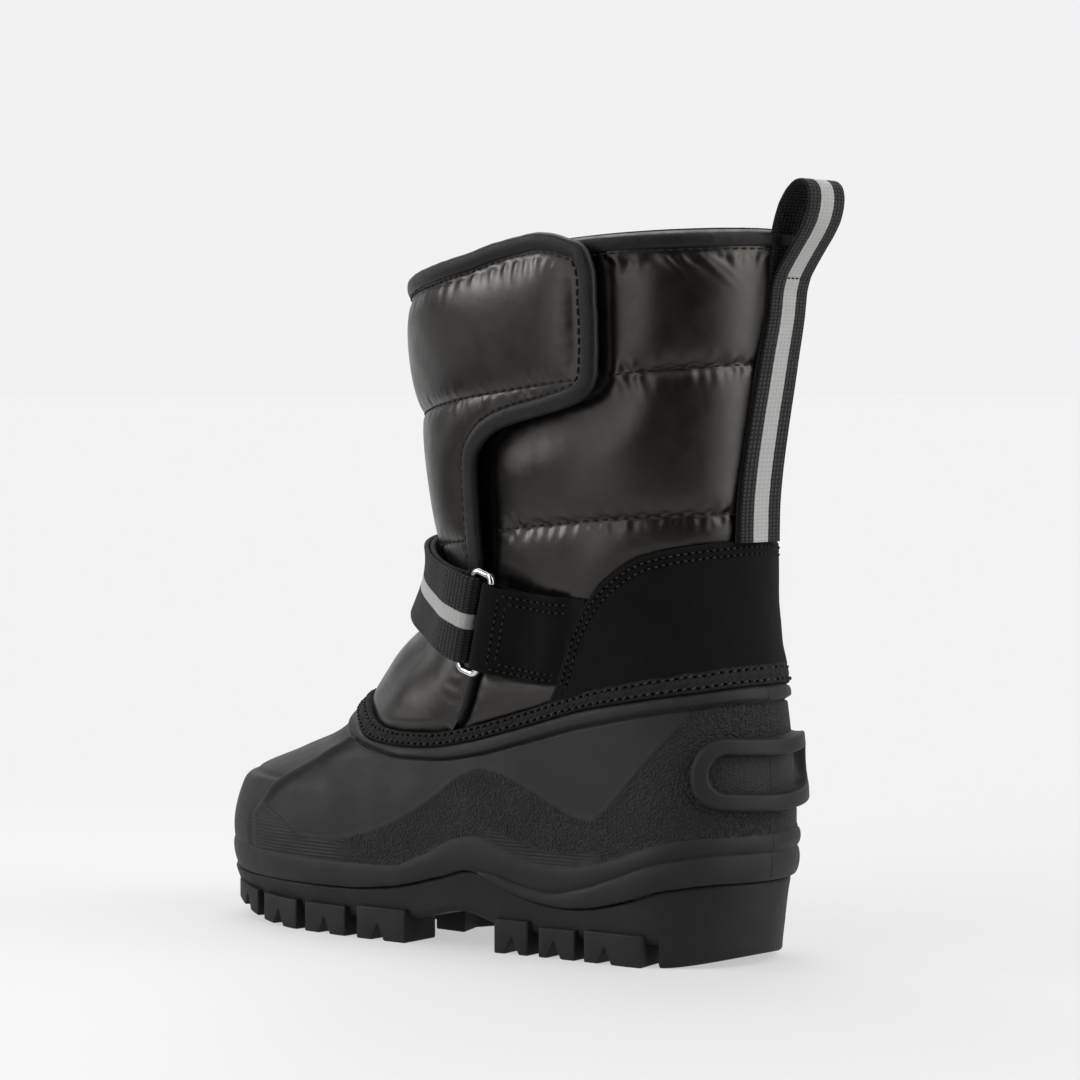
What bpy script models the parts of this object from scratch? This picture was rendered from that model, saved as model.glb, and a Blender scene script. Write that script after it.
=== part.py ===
"""Winter boot for a child's left foot, modelled at real size.

Frame: +Y points to the toe, +X to the inner (medial) side, -X to the outer
(lateral) side, +Z up.  The floor is z = 0.  Work is done in millimetres from
the back of the heel and written in metres about the middle of the footprint.

Every piece is cut from one skin, S(t, v): t runs round the boot (0 centre
back, 0.25 outer side, 0.5 centre front, 0.75 inner side) and v climbs from
the sole (0) to the collar (1).  Walls and overlays are offsets of that skin.
"""
import math

import bmesh
import bpy
import numpy as np

# ----------------------------------------------------------------- sizes, mm
MM = 0.001
ORIGIN_X, ORIGIN_Y = -0.97, 91.2     # middle of the boot's box, from the heel

COLUMNS = 48                         # columns round the boot
SHELL_WALL = 2.6                     # moulded rubber wall
UPPER_WALL = 5.6                     # padded quilted wall
SLEEVE_WALL = 2.2                    # the upper's lower part, inside the shell
FIT = 0.4                            # gap between pieces that lie together
PUFF = 2.4                           # height of a quilted channel
SEAM_DIP = 0.5                       # how far a quilt seam sinks
PRESSED = 1.2                        # the upper is flattened under the flap
SINK = 0.7                           # and under the sewn overlays
SLIT_COLUMN = 20                     # throat slit, one column wide
SLIT_FROM = 0.67

BINDING_HIGH = 5.6
BINDING_THICK = 1.2
COUNTER_THICK = 1.2
COUNTER_FRONT = 0.195                # where the counter ends on each side

PINCH_UPPER, PINCH_FLAP = 1.8, 2.8   # how far the strap presses upper and flap in
FLAP_UNDER = -0.7                    # underside of the flap, from the skin
FLAP_BODY = 1.8
FLAP_EDGE = 1.1
FLAP_SEAM = 0.685                    # sewn seam on the inner side

WEB_WIDE = 24.6                      # instep strap, 25 mm webbing
WEB_THICK = 1.4
TAB_WIDE = 24.4
TAB_THICK = 1.15
RING_AT = 0.298                      # t of the ring
RING_OFF = 4.8                       # ring's middle plane, from the skin
RING_HALF_LONG = 14.2
RING_HALF_WIDE = 3.5
RING_CORNER = 2.0
WIRE = 1.1                           # wire radius
STRAP_END, STRAP_TIP = 0.715, 0.60   # sewn end and free tip, as t
STRAP_LEAN = 3.4                     # its upper edge stands off the instep

PULL_WIDE, PULL_THICK = 17.0, 1.1
PULL_CENTRE_X = 2.0

RIM_WALL = 2.9                       # rim of the outsole tray
OUTSOLE_INSET = 0.4
INSOLE_THICK = 4.0
INSOLE_GAP = 0.9
LUG_GROW = 1.3                       # lugs stand proud of the side
LUG_DEEP = 13.0
NOTCH_HALF, NOTCH_HIGH = 2.2, 4.6
LEDGE_V = 0.247                      # kick ledge: middle height on the skin
LEDGE_HALF_LONG, LEDGE_HALF_HIGH = 23.5, 7.3
LEDGE_BAR, LEDGE_PROUD = 5.0, 3.6

QUILT_LOW, QUILT_HIGH, COLLAR = 0.64, 0.81, 1.0

# ------------------------------------------------- the last, ring by ring
# level: v, heights at back / side / front, back and front of the ring,
# length of the round at back and front, half widths at heel and ball,
# squareness of the toe, swing of the toe to the inner side
RING_COLUMNS = ("v", "z_back", "z_side", "z_front", "y_back", "y_front",
                "round_back", "round_front", "half_heel", "half_ball",
                "toe_power", "toe_swing")
RINGS = {
    "tread":      (-0.08,   5.0,   4.0,   7.0,  4.0, 191.0, 28, 54, 26.5, 37.0, 2.3, 4.5),
    "welt":       (0.00,   17.0,  15.0,  15.5,  2.5, 194.5, 28, 54, 27.0, 38.0, 2.3, 4.5),
    "bead":       (0.08,   27.5,  27.0,  26.5,  1.5, 196.0, 28, 54, 29.0, 39.0, 2.3, 4.5),
    "wall":       (0.17,   41.5,  40.0,  39.5,  0.5, 193.5, 29, 54, 28.5, 37.5, 2.2, 4.5),
    "toe_top":    (0.26,   54.0,  49.0,  49.5,  1.0, 172.5, 30, 56, 28.0, 34.5, 2.1, 4.0),
    "topline":    (0.36,   77.0,  59.0,  56.0,  3.5, 157.0, 32, 60, 27.5, 31.5, 2.0, 2.5),
    "ankle":      (0.50,   97.0,  83.5,  89.5,  6.5, 125.5, 36, 54, 28.5, 31.0, 2.0, 0.5),
    "quilt_low":  (0.64,  122.0, 118.0, 111.0,  7.5, 111.5, 40, 50, 32.0, 33.5, 2.0, 0.0),
    "quilt_high": (0.81,  162.0, 155.5, 147.0,  3.0, 117.0, 48, 54, 38.0, 37.5, 2.0, 0.0),
    "collar":     (1.00,  198.0, 193.5, 184.0, -0.5, 121.5, 54, 58, 42.0, 41.0, 2.0, 0.0),
    "brim":       (1.03,  203.5, 199.5, 190.0, -1.0, 122.0, 55, 59, 42.6, 41.5, 2.0, 0.0),
}

# top edge of the shell, same on both sides: t, v
TOPLINE = ((0.00, 0.352), (0.05, 0.357), (0.10, 0.369), (0.16, 0.380),
           (0.22, 0.367), (0.26, 0.352), (0.30, 0.341), (0.335, 0.345),
           (0.37, 0.358), (0.43, 0.392), (0.50, 0.412))
# top edge of the heel counter: t, v
COUNTER_TOP = ((0.00, 0.603), (0.075, 0.601), (0.122, 0.595),
               (0.157, 0.575), (0.182, 0.545), (0.197, 0.505))
# outer edge of the flap, from the binding to the collar: v, t
FLAP_EDGE_LINE = ((0.36, 0.281), (0.41, 0.283), (0.45, 0.290), (0.53, 0.304),
                  (0.60, 0.310), (0.68, 0.308), (0.730, 0.303), (0.752, 0.289),
                  (0.768, 0.261), (0.775, 0.212), (0.787, 0.172),
                  (0.815, 0.161), (0.87, 0.160), (0.945, 0.161),
                  (0.985, 0.168), (1.00, 0.185))
# top edge of the flap, a little over the collar at the outer corner: t, v
FLAP_TOP = ((0.15, 1.000), (0.185, 1.002), (0.21, 1.012), (0.25, 1.013),
            (0.31, 1.006), (0.37, 1.000), (0.70, 1.000))
# middle line of the ring tab and the strap, t from the heel forward: t, v
BELT = ((0.17, 0.492), (0.25, 0.518), (0.30, 0.5375), (0.35, 0.549),
        (0.41, 0.566), (0.46, 0.582), (0.50, 0.588), (0.54, 0.582),
        (0.59, 0.566), (0.65, 0.549), (0.70, 0.5375), (0.74, 0.525))
# wave where the shell meets the outsole: y, z
WAVE = ((0, 23.0), (5, 23.0), (18, 21.2), (31, 17.2), (45, 14.2), (51, 13.8),
        (59, 14.5), (70, 17.5), (77, 21.0), (82, 22.0), (92, 19.5),
        (109, 15.5), (126, 13.8), (143, 13.5), (176, 13.6), (197, 15.5))
# floor of the tray and underside of the slab between lugs: y, floor, under
SLAB = ((0, 13.2, 6.5), (55, 13.0, 6.0), (72, 14.2, 7.2), (86, 15.6, 10.4),
        (100, 14.4, 7.4), (112, 12.8, 5.6), (148, 12.6, 5.8),
        (172, 12.9, 7.6), (197, 14.0, 9.6))
# side lugs, mirrored on the inner side: y from, notch, y to, top height
SIDE_LUGS = ((25.0, 37.0, 44.0, 8.8), (47.0, 54.0, 59.0, 8.4),
             (62.5, 67.8, 73.6, 9.6), (104.0, 114.0, 121.8, 9.4),
             (126.2, 134.6, 142.6, 8.6), (146.2, 154.6, 162.0, 8.8),
             (165.5, 172.5, 180.5, 10.0))
# blocks down the middle: y, half length, half width
MIDDLE_LUGS = ((35.0, 6.0, 7.0), (53.0, 5.0, 7.0), (113.0, 5.5, 10.0),
               (134.0, 5.5, 12.0), (154.0, 5.0, 11.0), (172.0, 4.0, 7.0))
HEEL_BLOCK_TO = 20.5

# colour, roughness, metallic
LOOKS = {
    "outsole": ((0.020, 0.020, 0.021), 0.62, 0.0),
    "rubber_shell": ((0.022, 0.022, 0.023), 0.58, 0.0),
    "insole": ((0.030, 0.030, 0.032), 0.90, 0.0),
    "upper": ((0.016, 0.015, 0.015), 0.45, 0.0),
    "front_flap": ((0.016, 0.015, 0.015), 0.45, 0.0),
    "topline_binding": ((0.018, 0.018, 0.018), 0.85, 0.0),
    "heel_counter": ((0.020, 0.019, 0.019), 0.88, 0.0),
    "ring_tab": ((0.020, 0.019, 0.019), 0.88, 0.0),
    "strap_ring": ((0.620, 0.620, 0.630), 0.18, 1.0),
    "instep_strap": ((0.030, 0.030, 0.031), 0.80, 0.0),
    "pull_loop": ((0.030, 0.030, 0.031), 0.80, 0.0),
}


# ------------------------------------------------------------------ helpers
def flow(x, y, q):
    """Monotone cubic through the rows (x, y), read at q."""
    x, y = np.asarray(x, float), np.asarray(y, float)
    flat = y.ndim == 1
    y = y[:, None] if flat else y
    h = np.diff(x)[:, None]
    d = np.diff(y, axis=0) / h
    m = np.zeros_like(y)
    w1, w2 = 2 * h[1:] + h[:-1], h[1:] + 2 * h[:-1]
    same = d[1:] * d[:-1] > 0
    with np.errstate(divide="ignore", invalid="ignore"):
        m[1:-1] = np.where(same, (w1 + w2) / (w1 / d[:-1] + w2 / d[1:]), 0.0)
    m[0], m[-1] = d[0], d[-1]
    q = np.asarray(q, float)
    shape, q = q.shape, np.clip(q.ravel(), x[0], x[-1])
    i = np.clip(np.searchsorted(x, q) - 1, 0, len(x) - 2)
    w = (x[i + 1] - x[i])[:, None]
    u = ((q - x[i])[:, None]) / w
    out = ((2 * u**3 - 3 * u**2 + 1) * y[i] + (u**3 - 2 * u**2 + u) * w * m[i]
           + (3 * u**2 - 2 * u**3) * y[i + 1] + (u**3 - u**2) * w * m[i + 1])
    return out[:, 0].reshape(shape) if flat else out.reshape(shape + (-1,))


def read(rows, q, column=1):
    rows = np.array(rows, float)
    return flow(rows[:, 0], rows[:, column], q)


def ease(a, b, x):
    u = np.clip((np.asarray(x, float) - a) / (b - a), 0.0, 1.0)
    return u * u * (3 - 2 * u)


def fold(t):
    """t folded on to the outer half, for edges that are the same both sides."""
    return 0.5 - np.abs(0.5 - np.asarray(t, float) % 1.0)


def ring_points(row, t):
    (_, z_back, z_side, z_front, y_back, y_front, round_back, round_front,
     half_heel, half_ball, toe_power, toe_swing) = row
    s = (1 - np.cos(np.linspace(0, math.pi, 200))) / 2
    y = y_back + (y_front - y_back) * s
    half = half_heel + (half_ball - half_heel) * ease(0.12, 0.72, s)
    from_back = np.clip((y - y_back) / round_back, 0, 1)
    from_front = np.clip((y_front - y) / round_front, 0, 1)
    half = (half * np.sqrt(np.clip(1 - (1 - from_back) ** 2, 0, 1))
            * np.clip(1 - (1 - from_front) ** toe_power, 0, 1) ** (1 / toe_power))
    run = np.concatenate([[0], np.cumsum(np.hypot(np.diff(half), np.diff(y)))])
    run /= run[-1]
    t = np.asarray(t, float) % 1.0
    side = np.where(t <= 0.5, -1.0, 1.0)
    along = 2 * fold(t)
    a = np.interp(along, run, s)
    x = side * np.interp(along, run, half) + toe_swing * ease(0.35, 1.0, a)
    z = (z_back * (1 - a) * (1 - 2 * a) + z_side * 4 * a * (1 - a)
         + z_front * a * (2 * a - 1))
    return np.stack([x, np.interp(along, run, y), z], -1)


class Skin:
    """The boot's skin on a fine grid, read by t, v and an offset along the normal."""
    NT, NV = 256, 223
    V0, V1 = -0.08, 1.03

    def __init__(self):
        rings = np.array(list(RINGS.values()), float)
        self.v = np.linspace(self.V0, self.V1, self.NV)
        rows = flow(rings[:, 0], rings, self.v)
        t = np.arange(self.NT) / self.NT
        self.P = np.stack([ring_points(r, t) for r in rows])
        across = np.roll(self.P, -1, 1) - np.roll(self.P, 1, 1)
        up = np.gradient(self.P, axis=0)
        n = np.cross(up, across)
        self.N = n / np.linalg.norm(n, axis=-1, keepdims=True)
        if self.N[self.NV // 2, self.NT // 4, 0] > 0:
            self.N = -self.N
        step = np.linalg.norm(np.diff(self.P, axis=0), axis=-1)
        self.rise = np.concatenate([np.zeros((1, self.NT)), np.cumsum(step, 0)])

    def sample(self, field, t, v):
        t, v = np.broadcast_arrays(np.asarray(t, float), np.asarray(v, float))
        a = (t % 1.0) * self.NT
        b = np.clip((v - self.V0) / (self.V1 - self.V0), 0, 1) * (self.NV - 1)
        i = np.floor(a).astype(int) % self.NT
        j = np.clip(np.floor(b).astype(int), 0, self.NV - 2)
        u, w = a - np.floor(a), b - j
        if field.ndim == 3:
            u, w = u[..., None], w[..., None]
        k = (i + 1) % self.NT
        return ((field[j, i] * (1 - u) + field[j, k] * u) * (1 - w)
                + (field[j + 1, i] * (1 - u) + field[j + 1, k] * u) * w)

    def __call__(self, t, v, off=0.0):
        n = self.sample(self.N, t, v)
        n = n / np.linalg.norm(n, axis=-1, keepdims=True)
        off = np.asarray(off, float)
        return self.sample(self.P, t, v) + n * off[..., None]

    def normal(self, t, v):
        n = self.sample(self.N, t, v)
        return n / np.linalg.norm(n, axis=-1, keepdims=True)

    def climb(self, t, v, mm):
        """v after going mm up the skin from (t, v)."""
        t, v, mm = np.broadcast_arrays(np.asarray(t, float), np.asarray(v, float),
                                       np.asarray(mm, float))
        goal = self.sample(self.rise, t, v) + mm
        out = np.empty(t.shape)
        for k in np.ndindex(t.shape):
            column = self.sample(self.rise, np.full(self.NV, t[k]), self.v)
            out[k] = np.interp(goal[k], column, self.v)
        return out

    def v_at_height(self, t, height):
        """v where the skin is at the height, a function of y."""
        t = np.asarray(t, float)
        out = np.empty(t.shape)
        for k in np.ndindex(t.shape):
            column = self.sample(self.P, np.full(self.NV, t[k]), self.v)
            gap = column[:, 2] - height(column[:, 1])
            j = int(np.argmax(gap > 0))
            j = max(j, 1)
            u = -gap[j - 1] / (gap[j] - gap[j - 1])
            out[k] = self.v[j - 1] + (self.v[j] - self.v[j - 1]) * np.clip(u, 0, 1)
        return out


skin = Skin()


def topline(t):
    return read(TOPLINE, fold(t))


def binding_top(t):
    return skin.climb(t, topline(t), BINDING_HIGH + 0.5)


def counter_top(t):
    return read(COUNTER_TOP, fold(t))


def flap_edge(v):
    return read(FLAP_EDGE_LINE, v)


def wave(y):
    return read(WAVE, y)


def slab_floor(y):
    return read(SLAB, y, 1)


def slab_under(y):
    return read(SLAB, y, 2)


def tread(y):
    """Height of the tread's contact face: flat, rising at toe and heel."""
    y = np.asarray(y, float)
    toe = 0.0045 * np.clip(y - 146.0, 0, 44) ** 2
    heel = 4.0 * (np.clip(HEEL_BLOCK_TO - y, 0, 21) / 20.5) ** 1.4
    return toe + heel


# ------------------------------------------------------- mesh construction
for item in list(bpy.data.objects):
    bpy.data.objects.remove(item, do_unlink=True)


def look(name):
    colour, rough, metal = LOOKS[name]
    mat = bpy.data.materials.new(name)
    mat.use_nodes = True
    node = mat.node_tree.nodes["Principled BSDF"]
    node.inputs["Base Color"].default_value = (*colour, 1.0)
    node.inputs["Roughness"].default_value = rough
    node.inputs["Metallic"].default_value = metal
    return mat


def add(name, verts, faces, helper=False):
    """One object from points in mm; faces are turned outward."""
    shift = np.array([ORIGIN_X, ORIGIN_Y, 0.0])
    points = (np.asarray(verts, float) - shift) * MM
    mesh = bpy.data.meshes.new(name)
    mesh.from_pydata([tuple(p) for p in points], [], [tuple(f) for f in faces])
    work = bmesh.new()
    work.from_mesh(mesh)
    bmesh.ops.remove_doubles(work, verts=work.verts, dist=1e-7)
    bmesh.ops.recalc_face_normals(work, faces=work.faces)
    if work.calc_volume(signed=True) < 0:
        bmesh.ops.reverse_faces(work, faces=work.faces)
    work.to_mesh(mesh)
    work.free()
    obj = bpy.data.objects.new(name, mesh)
    bpy.context.scene.collection.objects.link(obj)
    if helper:
        obj.hide_render = True
        obj.display_type = "WIRE"
    else:
        mesh.materials.append(look(name))
        mesh.shade_smooth()
        mesh.set_sharp_from_angle(angle=math.radians(40))
    return obj


def wall(outer, inner, closed, skip=None):
    """Solid between two point grids (rows up, columns round); skip drops cells."""
    rows, cols = outer.shape[:2]
    size = rows * cols
    verts = np.concatenate([outer.reshape(-1, 3), inner.reshape(-1, 3)])
    spans = cols if closed else cols - 1
    kept = np.ones((rows - 1, spans), bool)
    if skip is not None:
        kept &= ~skip

    def vid(r, c):
        return r * cols + c % cols

    def is_kept(r, c):
        if closed:
            c %= spans
        return 0 <= r < rows - 1 and 0 <= c < spans and kept[r, c]

    faces = []
    for r in range(rows - 1):
        for c in range(spans):
            if not kept[r, c]:
                continue
            a, b, d, e = vid(r, c), vid(r, c + 1), vid(r + 1, c + 1), vid(r + 1, c)
            faces.append((a, b, d, e))
            faces.append((a + size, e + size, d + size, b + size))
            edges = (((r - 1, c), a, b), ((r, c + 1), b, d),
                     ((r + 1, c), d, e), ((r, c - 1), e, a))
            for beside, p, q in edges:
                if not is_kept(*beside):
                    faces.append((p, p + size, q + size, q))
    used = sorted({i for f in faces for i in f})
    renumber = {old: new for new, old in enumerate(used)}
    return verts[used], [tuple(renumber[i] for i in f) for f in faces]


def unite(body, helper):
    mod = body.modifiers.new("unite_" + helper.name, "BOOLEAN")
    mod.operation = "UNION"
    mod.solver = "EXACT"
    mod.object = helper
    return mod


T = np.arange(COLUMNS) / COLUMNS


# ------------------------------------------------------------------ outsole
HALF = COLUMNS // 2
ACROSS = 6


def ladder(left, right, height):
    """Rows of points across from the outer to the inner edge, ends left out."""
    rows = []
    for i in range(1, HALF):
        c = np.linspace(0, 1, ACROSS + 1)[:, None]
        row = left[i] + (right[i] - left[i]) * c
        row[1:-1, 2] = height(row[1:-1, 1])
        rows.append(row)
    return rows


def sheet_faces(ring, verts, height, down):
    """Fill a ring of COLUMNS vertices with rows straight across."""
    points = np.array([verts[i] for i in ring])
    left = points[: HALF + 1]
    right = points[[(-i) % COLUMNS for i in range(HALF + 1)]]
    ids = []
    for i, row in enumerate(ladder(left, right, height), start=1):
        line = [ring[i]]
        for p in row[1:-1]:
            line.append(len(verts))
            verts.append(p)
        line.append(ring[-i])
        ids.append(line)
    faces = []
    first, last = ring[0], ring[HALF]
    for a, b in zip(ids[0][:-1], ids[0][1:]):
        faces.append((first, a, b))
    for a, b in zip(ids[-1][:-1], ids[-1][1:]):
        faces.append((last, b, a))
    for lower, upper in zip(ids[:-1], ids[1:]):
        for k in range(ACROSS):
            faces.append((lower[k], upper[k], upper[k + 1], lower[k + 1]))
    return [tuple(reversed(f)) for f in faces] if down else faces


def flat_inset(points, mm):
    """Move ring points inward in plan by mm, following the ring's own normal."""
    d = np.roll(points, -1, 0) - np.roll(points, 1, 0)
    n = np.stack([d[:, 1], -d[:, 0]], -1)
    n /= np.linalg.norm(n, axis=-1, keepdims=True)
    middle = points[:, :2].mean(0)
    if np.sum(n * (points[:, :2] - middle)) > 0:
        n = -n
    out = points.copy()
    out[:, :2] += n * mm
    return out


def at_height(height, off=0.0):
    v = skin.v_at_height(T, height)
    ring = skin(T, v, off)
    ring[:, 2] = height(ring[:, 1])
    return ring


rim_out = at_height(wave, -OUTSOLE_INSET)
under = flat_inset(at_height(slab_under, -OUTSOLE_INSET), 0.6)
under[:, 2] = slab_under(under[:, 1])
rim_in = flat_inset(rim_out, RIM_WALL)
floor_edge = rim_in.copy()
floor_edge[:, 2] = slab_floor(floor_edge[:, 1])

verts, faces, rings_ids = [], [], []
for ring in (under, rim_out, rim_in, floor_edge):
    rings_ids.append(list(range(len(verts), len(verts) + COLUMNS)))
    verts.extend(ring)
for low, high in zip(rings_ids[:-1], rings_ids[1:]):
    for c in range(COLUMNS):
        d = (c + 1) % COLUMNS
        faces.append((low[c], low[d], high[d], high[c]))
faces += sheet_faces(rings_ids[0], verts, slab_under, True)
faces += sheet_faces(rings_ids[3], verts, slab_floor, False)
outsole = add("outsole", verts, faces)

# lugs: blocks that follow the edge, each with a V notch in its foot
EDGE_V = -0.02


def t_at_y(y):
    t = np.linspace(0.0, 0.5, 400)
    return np.interp(y, skin(t, np.full(400, EDGE_V))[:, 1], t)


def edge_frame(t):
    p = skin(t, np.full(np.shape(t), EDGE_V))
    q = skin(np.asarray(t) + 0.002, np.full(np.shape(t), EDGE_V))
    r = skin(np.asarray(t) - 0.002, np.full(np.shape(t), EDGE_V))
    d = (q - r)[:, :2]
    n = np.stack([-d[:, 1], d[:, 0]], -1)
    n /= np.linalg.norm(n, axis=-1, keepdims=True)
    return p[:, :2], n


lug_verts, lug_faces = [], []


def lug(points_outer, points_inner, low, high):
    """Block from matching rows of plan points; low and high are z per row."""
    base = len(lug_verts)
    for po, pi, a, b in zip(points_outer, points_inner, low, high):
        lug_verts.extend([(*po, a), (*po, b), (*pi, b), (*pi, a)])
    for i in range(len(low) - 1):
        for k in range(4):
            a, b = base + 4 * i + k, base + 4 * i + (k + 1) % 4
            lug_faces.append((a, b, b + 4, a + 4))
    lug_faces.append(tuple(base + k for k in range(4)))
    end = base + 4 * (len(low) - 1)
    lug_faces.append(tuple(end + k for k in (3, 2, 1, 0)))


for y_from, y_notch, y_to, top in SIDE_LUGS:
    ys = np.array([y_from, y_notch - NOTCH_HALF, y_notch, y_notch + NOTCH_HALF, y_to])
    low = tread(ys)
    low[2] += NOTCH_HIGH
    high = np.full(5, top) + 0.5 * (tread(ys) - tread(ys[2]))
    for side in (1, -1):
        t = t_at_y(ys) if side > 0 else 1.0 - t_at_y(ys)
        p, n = edge_frame(t)
        if np.sum(n * (p - np.array([0.0, 95.0]))) < 0:
            n = -n
        lug(p + n * LUG_GROW, p - n * LUG_DEEP, low, high)

for y_mid, half_long, half_wide in MIDDLE_LUGS:
    centre = float(np.mean(skin(np.array([t_at_y(y_mid), 1 - t_at_y(y_mid)]),
                                np.full(2, EDGE_V))[:, 0]))
    xs = centre + half_wide * np.array([-1.0, 0.0, 1.0])
    point = np.array([-2.0, 2.0, -2.0])      # a blunt arrow to the toe
    back = np.stack([xs, y_mid - half_long + point], -1)
    front = np.stack([xs, y_mid + half_long + point], -1)
    level = tread(np.full(3, y_mid))
    lug(back, front, level, np.full(3, float(slab_under(y_mid)) + 2.0))

# heel block: the whole back of the heel, bevelled up to the rear
block_t = np.linspace(-t_at_y(HEEL_BLOCK_TO), t_at_y(HEEL_BLOCK_TO), 17)
block_p, block_n = edge_frame(block_t)
if np.sum(block_n * (block_p - np.array([0.0, 40.0]))) < 0:
    block_n = -block_n
block = block_p + block_n * 0.6
base, count = len(lug_verts), len(block)
for x, y in block:
    lug_verts.append((x, y, float(tread(y))))
for x, y in block:
    lug_verts.append((x, y, 9.5))
for i in range(count - 1):
    a, b = base + i, base + i + 1
    lug_faces.append((a, b, b + count, a + count))
lug_faces.append((base + count - 1, base, base + count, base + 2 * count - 1))
lug_faces.append(tuple(base + count + i for i in range(count)))
for i in range(count // 2):
    a, b = base + i, base + i + 1
    c, d = base + count - 2 - i, base + count - 1 - i
    lug_faces.append((a, b, d) if b == c else (a, b, c, d))
lugs = add("lugs", lug_verts, lug_faces, helper=True)
unite(outsole, lugs)

# ------------------------------------------------------------- rubber shell
SHELL_ROWS = 8
v_low = skin.v_at_height(T, lambda y: wave(y) + FIT)
v_top = topline(T)
steps = np.linspace(0, 1, SHELL_ROWS)[:, None]
v_shell = v_low + (v_top - v_low) * steps
t_shell = np.broadcast_to(T, v_shell.shape)
shell = add("rubber_shell", *wall(skin(t_shell, v_shell),
                                  skin(t_shell, v_shell, np.full(v_shell.shape, -SHELL_WALL)),
                                  True))

# kick ledge: a raised oval ring round the back of the heel
round_mm = float(np.sum(np.linalg.norm(np.diff(skin(np.linspace(0, 1, 400),
                                                    np.full(400, LEDGE_V)), axis=0), axis=-1)))
LEDGE_STATIONS = 28
straight = LEDGE_HALF_LONG - LEDGE_HALF_HIGH
path = []
for k in range(LEDGE_STATIONS // 4 + 1):
    path.append((straight * (-1 + 2 * k / (LEDGE_STATIONS // 4)), -LEDGE_HALF_HIGH, 0.0, -1.0))
for k in range(1, LEDGE_STATIONS // 4):
    a = math.pi * k / (LEDGE_STATIONS // 4) - math.pi / 2
    path.append((straight + LEDGE_HALF_HIGH * math.cos(a), LEDGE_HALF_HIGH * math.sin(a),
                 math.cos(a), math.sin(a)))
path += [(-a, -b, -c, -d) for a, b, c, d in path]
section = ((-0.5 * LEDGE_BAR, -1.2), (-0.5 * LEDGE_BAR, 1.0), (-0.36 * LEDGE_BAR, LEDGE_PROUD),
           (0.36 * LEDGE_BAR, LEDGE_PROUD), (0.5 * LEDGE_BAR, 1.0), (0.5 * LEDGE_BAR, -1.2))
ledge_points = []
for a, b, c, d in path:
    for side, off in section:
        t = (a + c * side) / round_mm
        v = skin.climb(t, LEDGE_V, b + d * side)
        ledge_points.append(skin(t, v, off))
around, corners = len(path), len(section)
ledge_faces = []
for i in range(around):
    for k in range(corners):
        j, m = (i + 1) % around, (k + 1) % corners
        ledge_faces.append((i * corners + k, i * corners + m, j * corners + m, j * corners + k))
ledge = add("ledge", ledge_points, ledge_faces, helper=True)
unite(shell, ledge)

# ------------------------------------------------------------------- insole
edge_low = flat_inset(floor_edge, INSOLE_GAP)
edge_low[:, 2] = slab_floor(edge_low[:, 1]) + FIT
edge_high = edge_low.copy()
edge_high[:, 2] += INSOLE_THICK
verts = list(edge_low) + list(edge_high)
low, high = list(range(COLUMNS)), list(range(COLUMNS, 2 * COLUMNS))
faces = []
for c in range(COLUMNS):
    d = (c + 1) % COLUMNS
    faces.append((low[c], low[d], high[d], high[c]))
faces += sheet_faces(low, verts, lambda y: slab_floor(y) + FIT, True)
faces += sheet_faces(high, verts, lambda y: slab_floor(y) + FIT + INSOLE_THICK, False)
add("insole", verts, faces)

# -------------------------------------------------------------------- upper
flap_v = np.linspace(0.36, 1.0, 120)
flap_line = skin(flap_edge(flap_v), flap_v)
flap_back = skin(np.full(120, FLAP_SEAM), flap_v)


def clear_of_flap(t, v, points):
    """0 under the flap and close to it, 1 well away from it."""
    inside = (t > flap_edge(v)) & (t < FLAP_SEAM)
    line = np.concatenate([flap_line, flap_back])
    far = np.linalg.norm(points[..., None, :] - line, axis=-1).min(-1)
    return np.where(inside, 0.0, ease(6.0, 15.0, far)), inside


belt_t = np.array(BELT)[:, 0]


def clear_of_overlays(t, v, points):
    """0 under the counter, the tab, the binding and the pull web."""
    f = fold(t)
    top = np.where(f < COUNTER_FRONT, counter_top(f), 0.0)
    tab_top = read(BELT, np.clip(f, 0.17, 0.5)) + 0.062
    top = np.maximum(top, np.where(f >= COUNTER_FRONT - 0.03, tab_top, 0.0))
    out = ease(0.020, 0.055, v - top)
    return out * ease(11.0, 18.0, np.abs(points[..., 0] - PULL_CENTRE_X)
                      + np.where(points[..., 1] > 40, 99.0, 0.0))


def pinch(t, v):
    """1 in the middle of the strap over the instep, 0 by its edges and ends."""
    t, v = np.asarray(t, float), np.asarray(v, float)
    ends = ease(0.325, 0.39, t) * (1 - ease(0.61, 0.665, t))
    middle = read(BELT, np.clip(t, BELT[0][0], BELT[-1][0]))
    return ends * np.where(v > middle, 1 - ease(0.025, 0.075, v - middle),
                           1 - ease(0.075, 0.13, middle - v))


def puff(v):
    """Height of the quilted channels above the skin."""
    lines = np.array([0.42, QUILT_LOW, QUILT_HIGH, COLLAR])
    k = np.clip(np.searchsorted(lines, v, side="right") - 1, 0, len(lines) - 2)
    u = np.clip((v - lines[k]) / (lines[k + 1] - lines[k]), 0, 1)
    return PUFF * np.sin(math.pi * u) ** 0.7 - SEAM_DIP


SLEEVE_ROWS = 6


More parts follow.
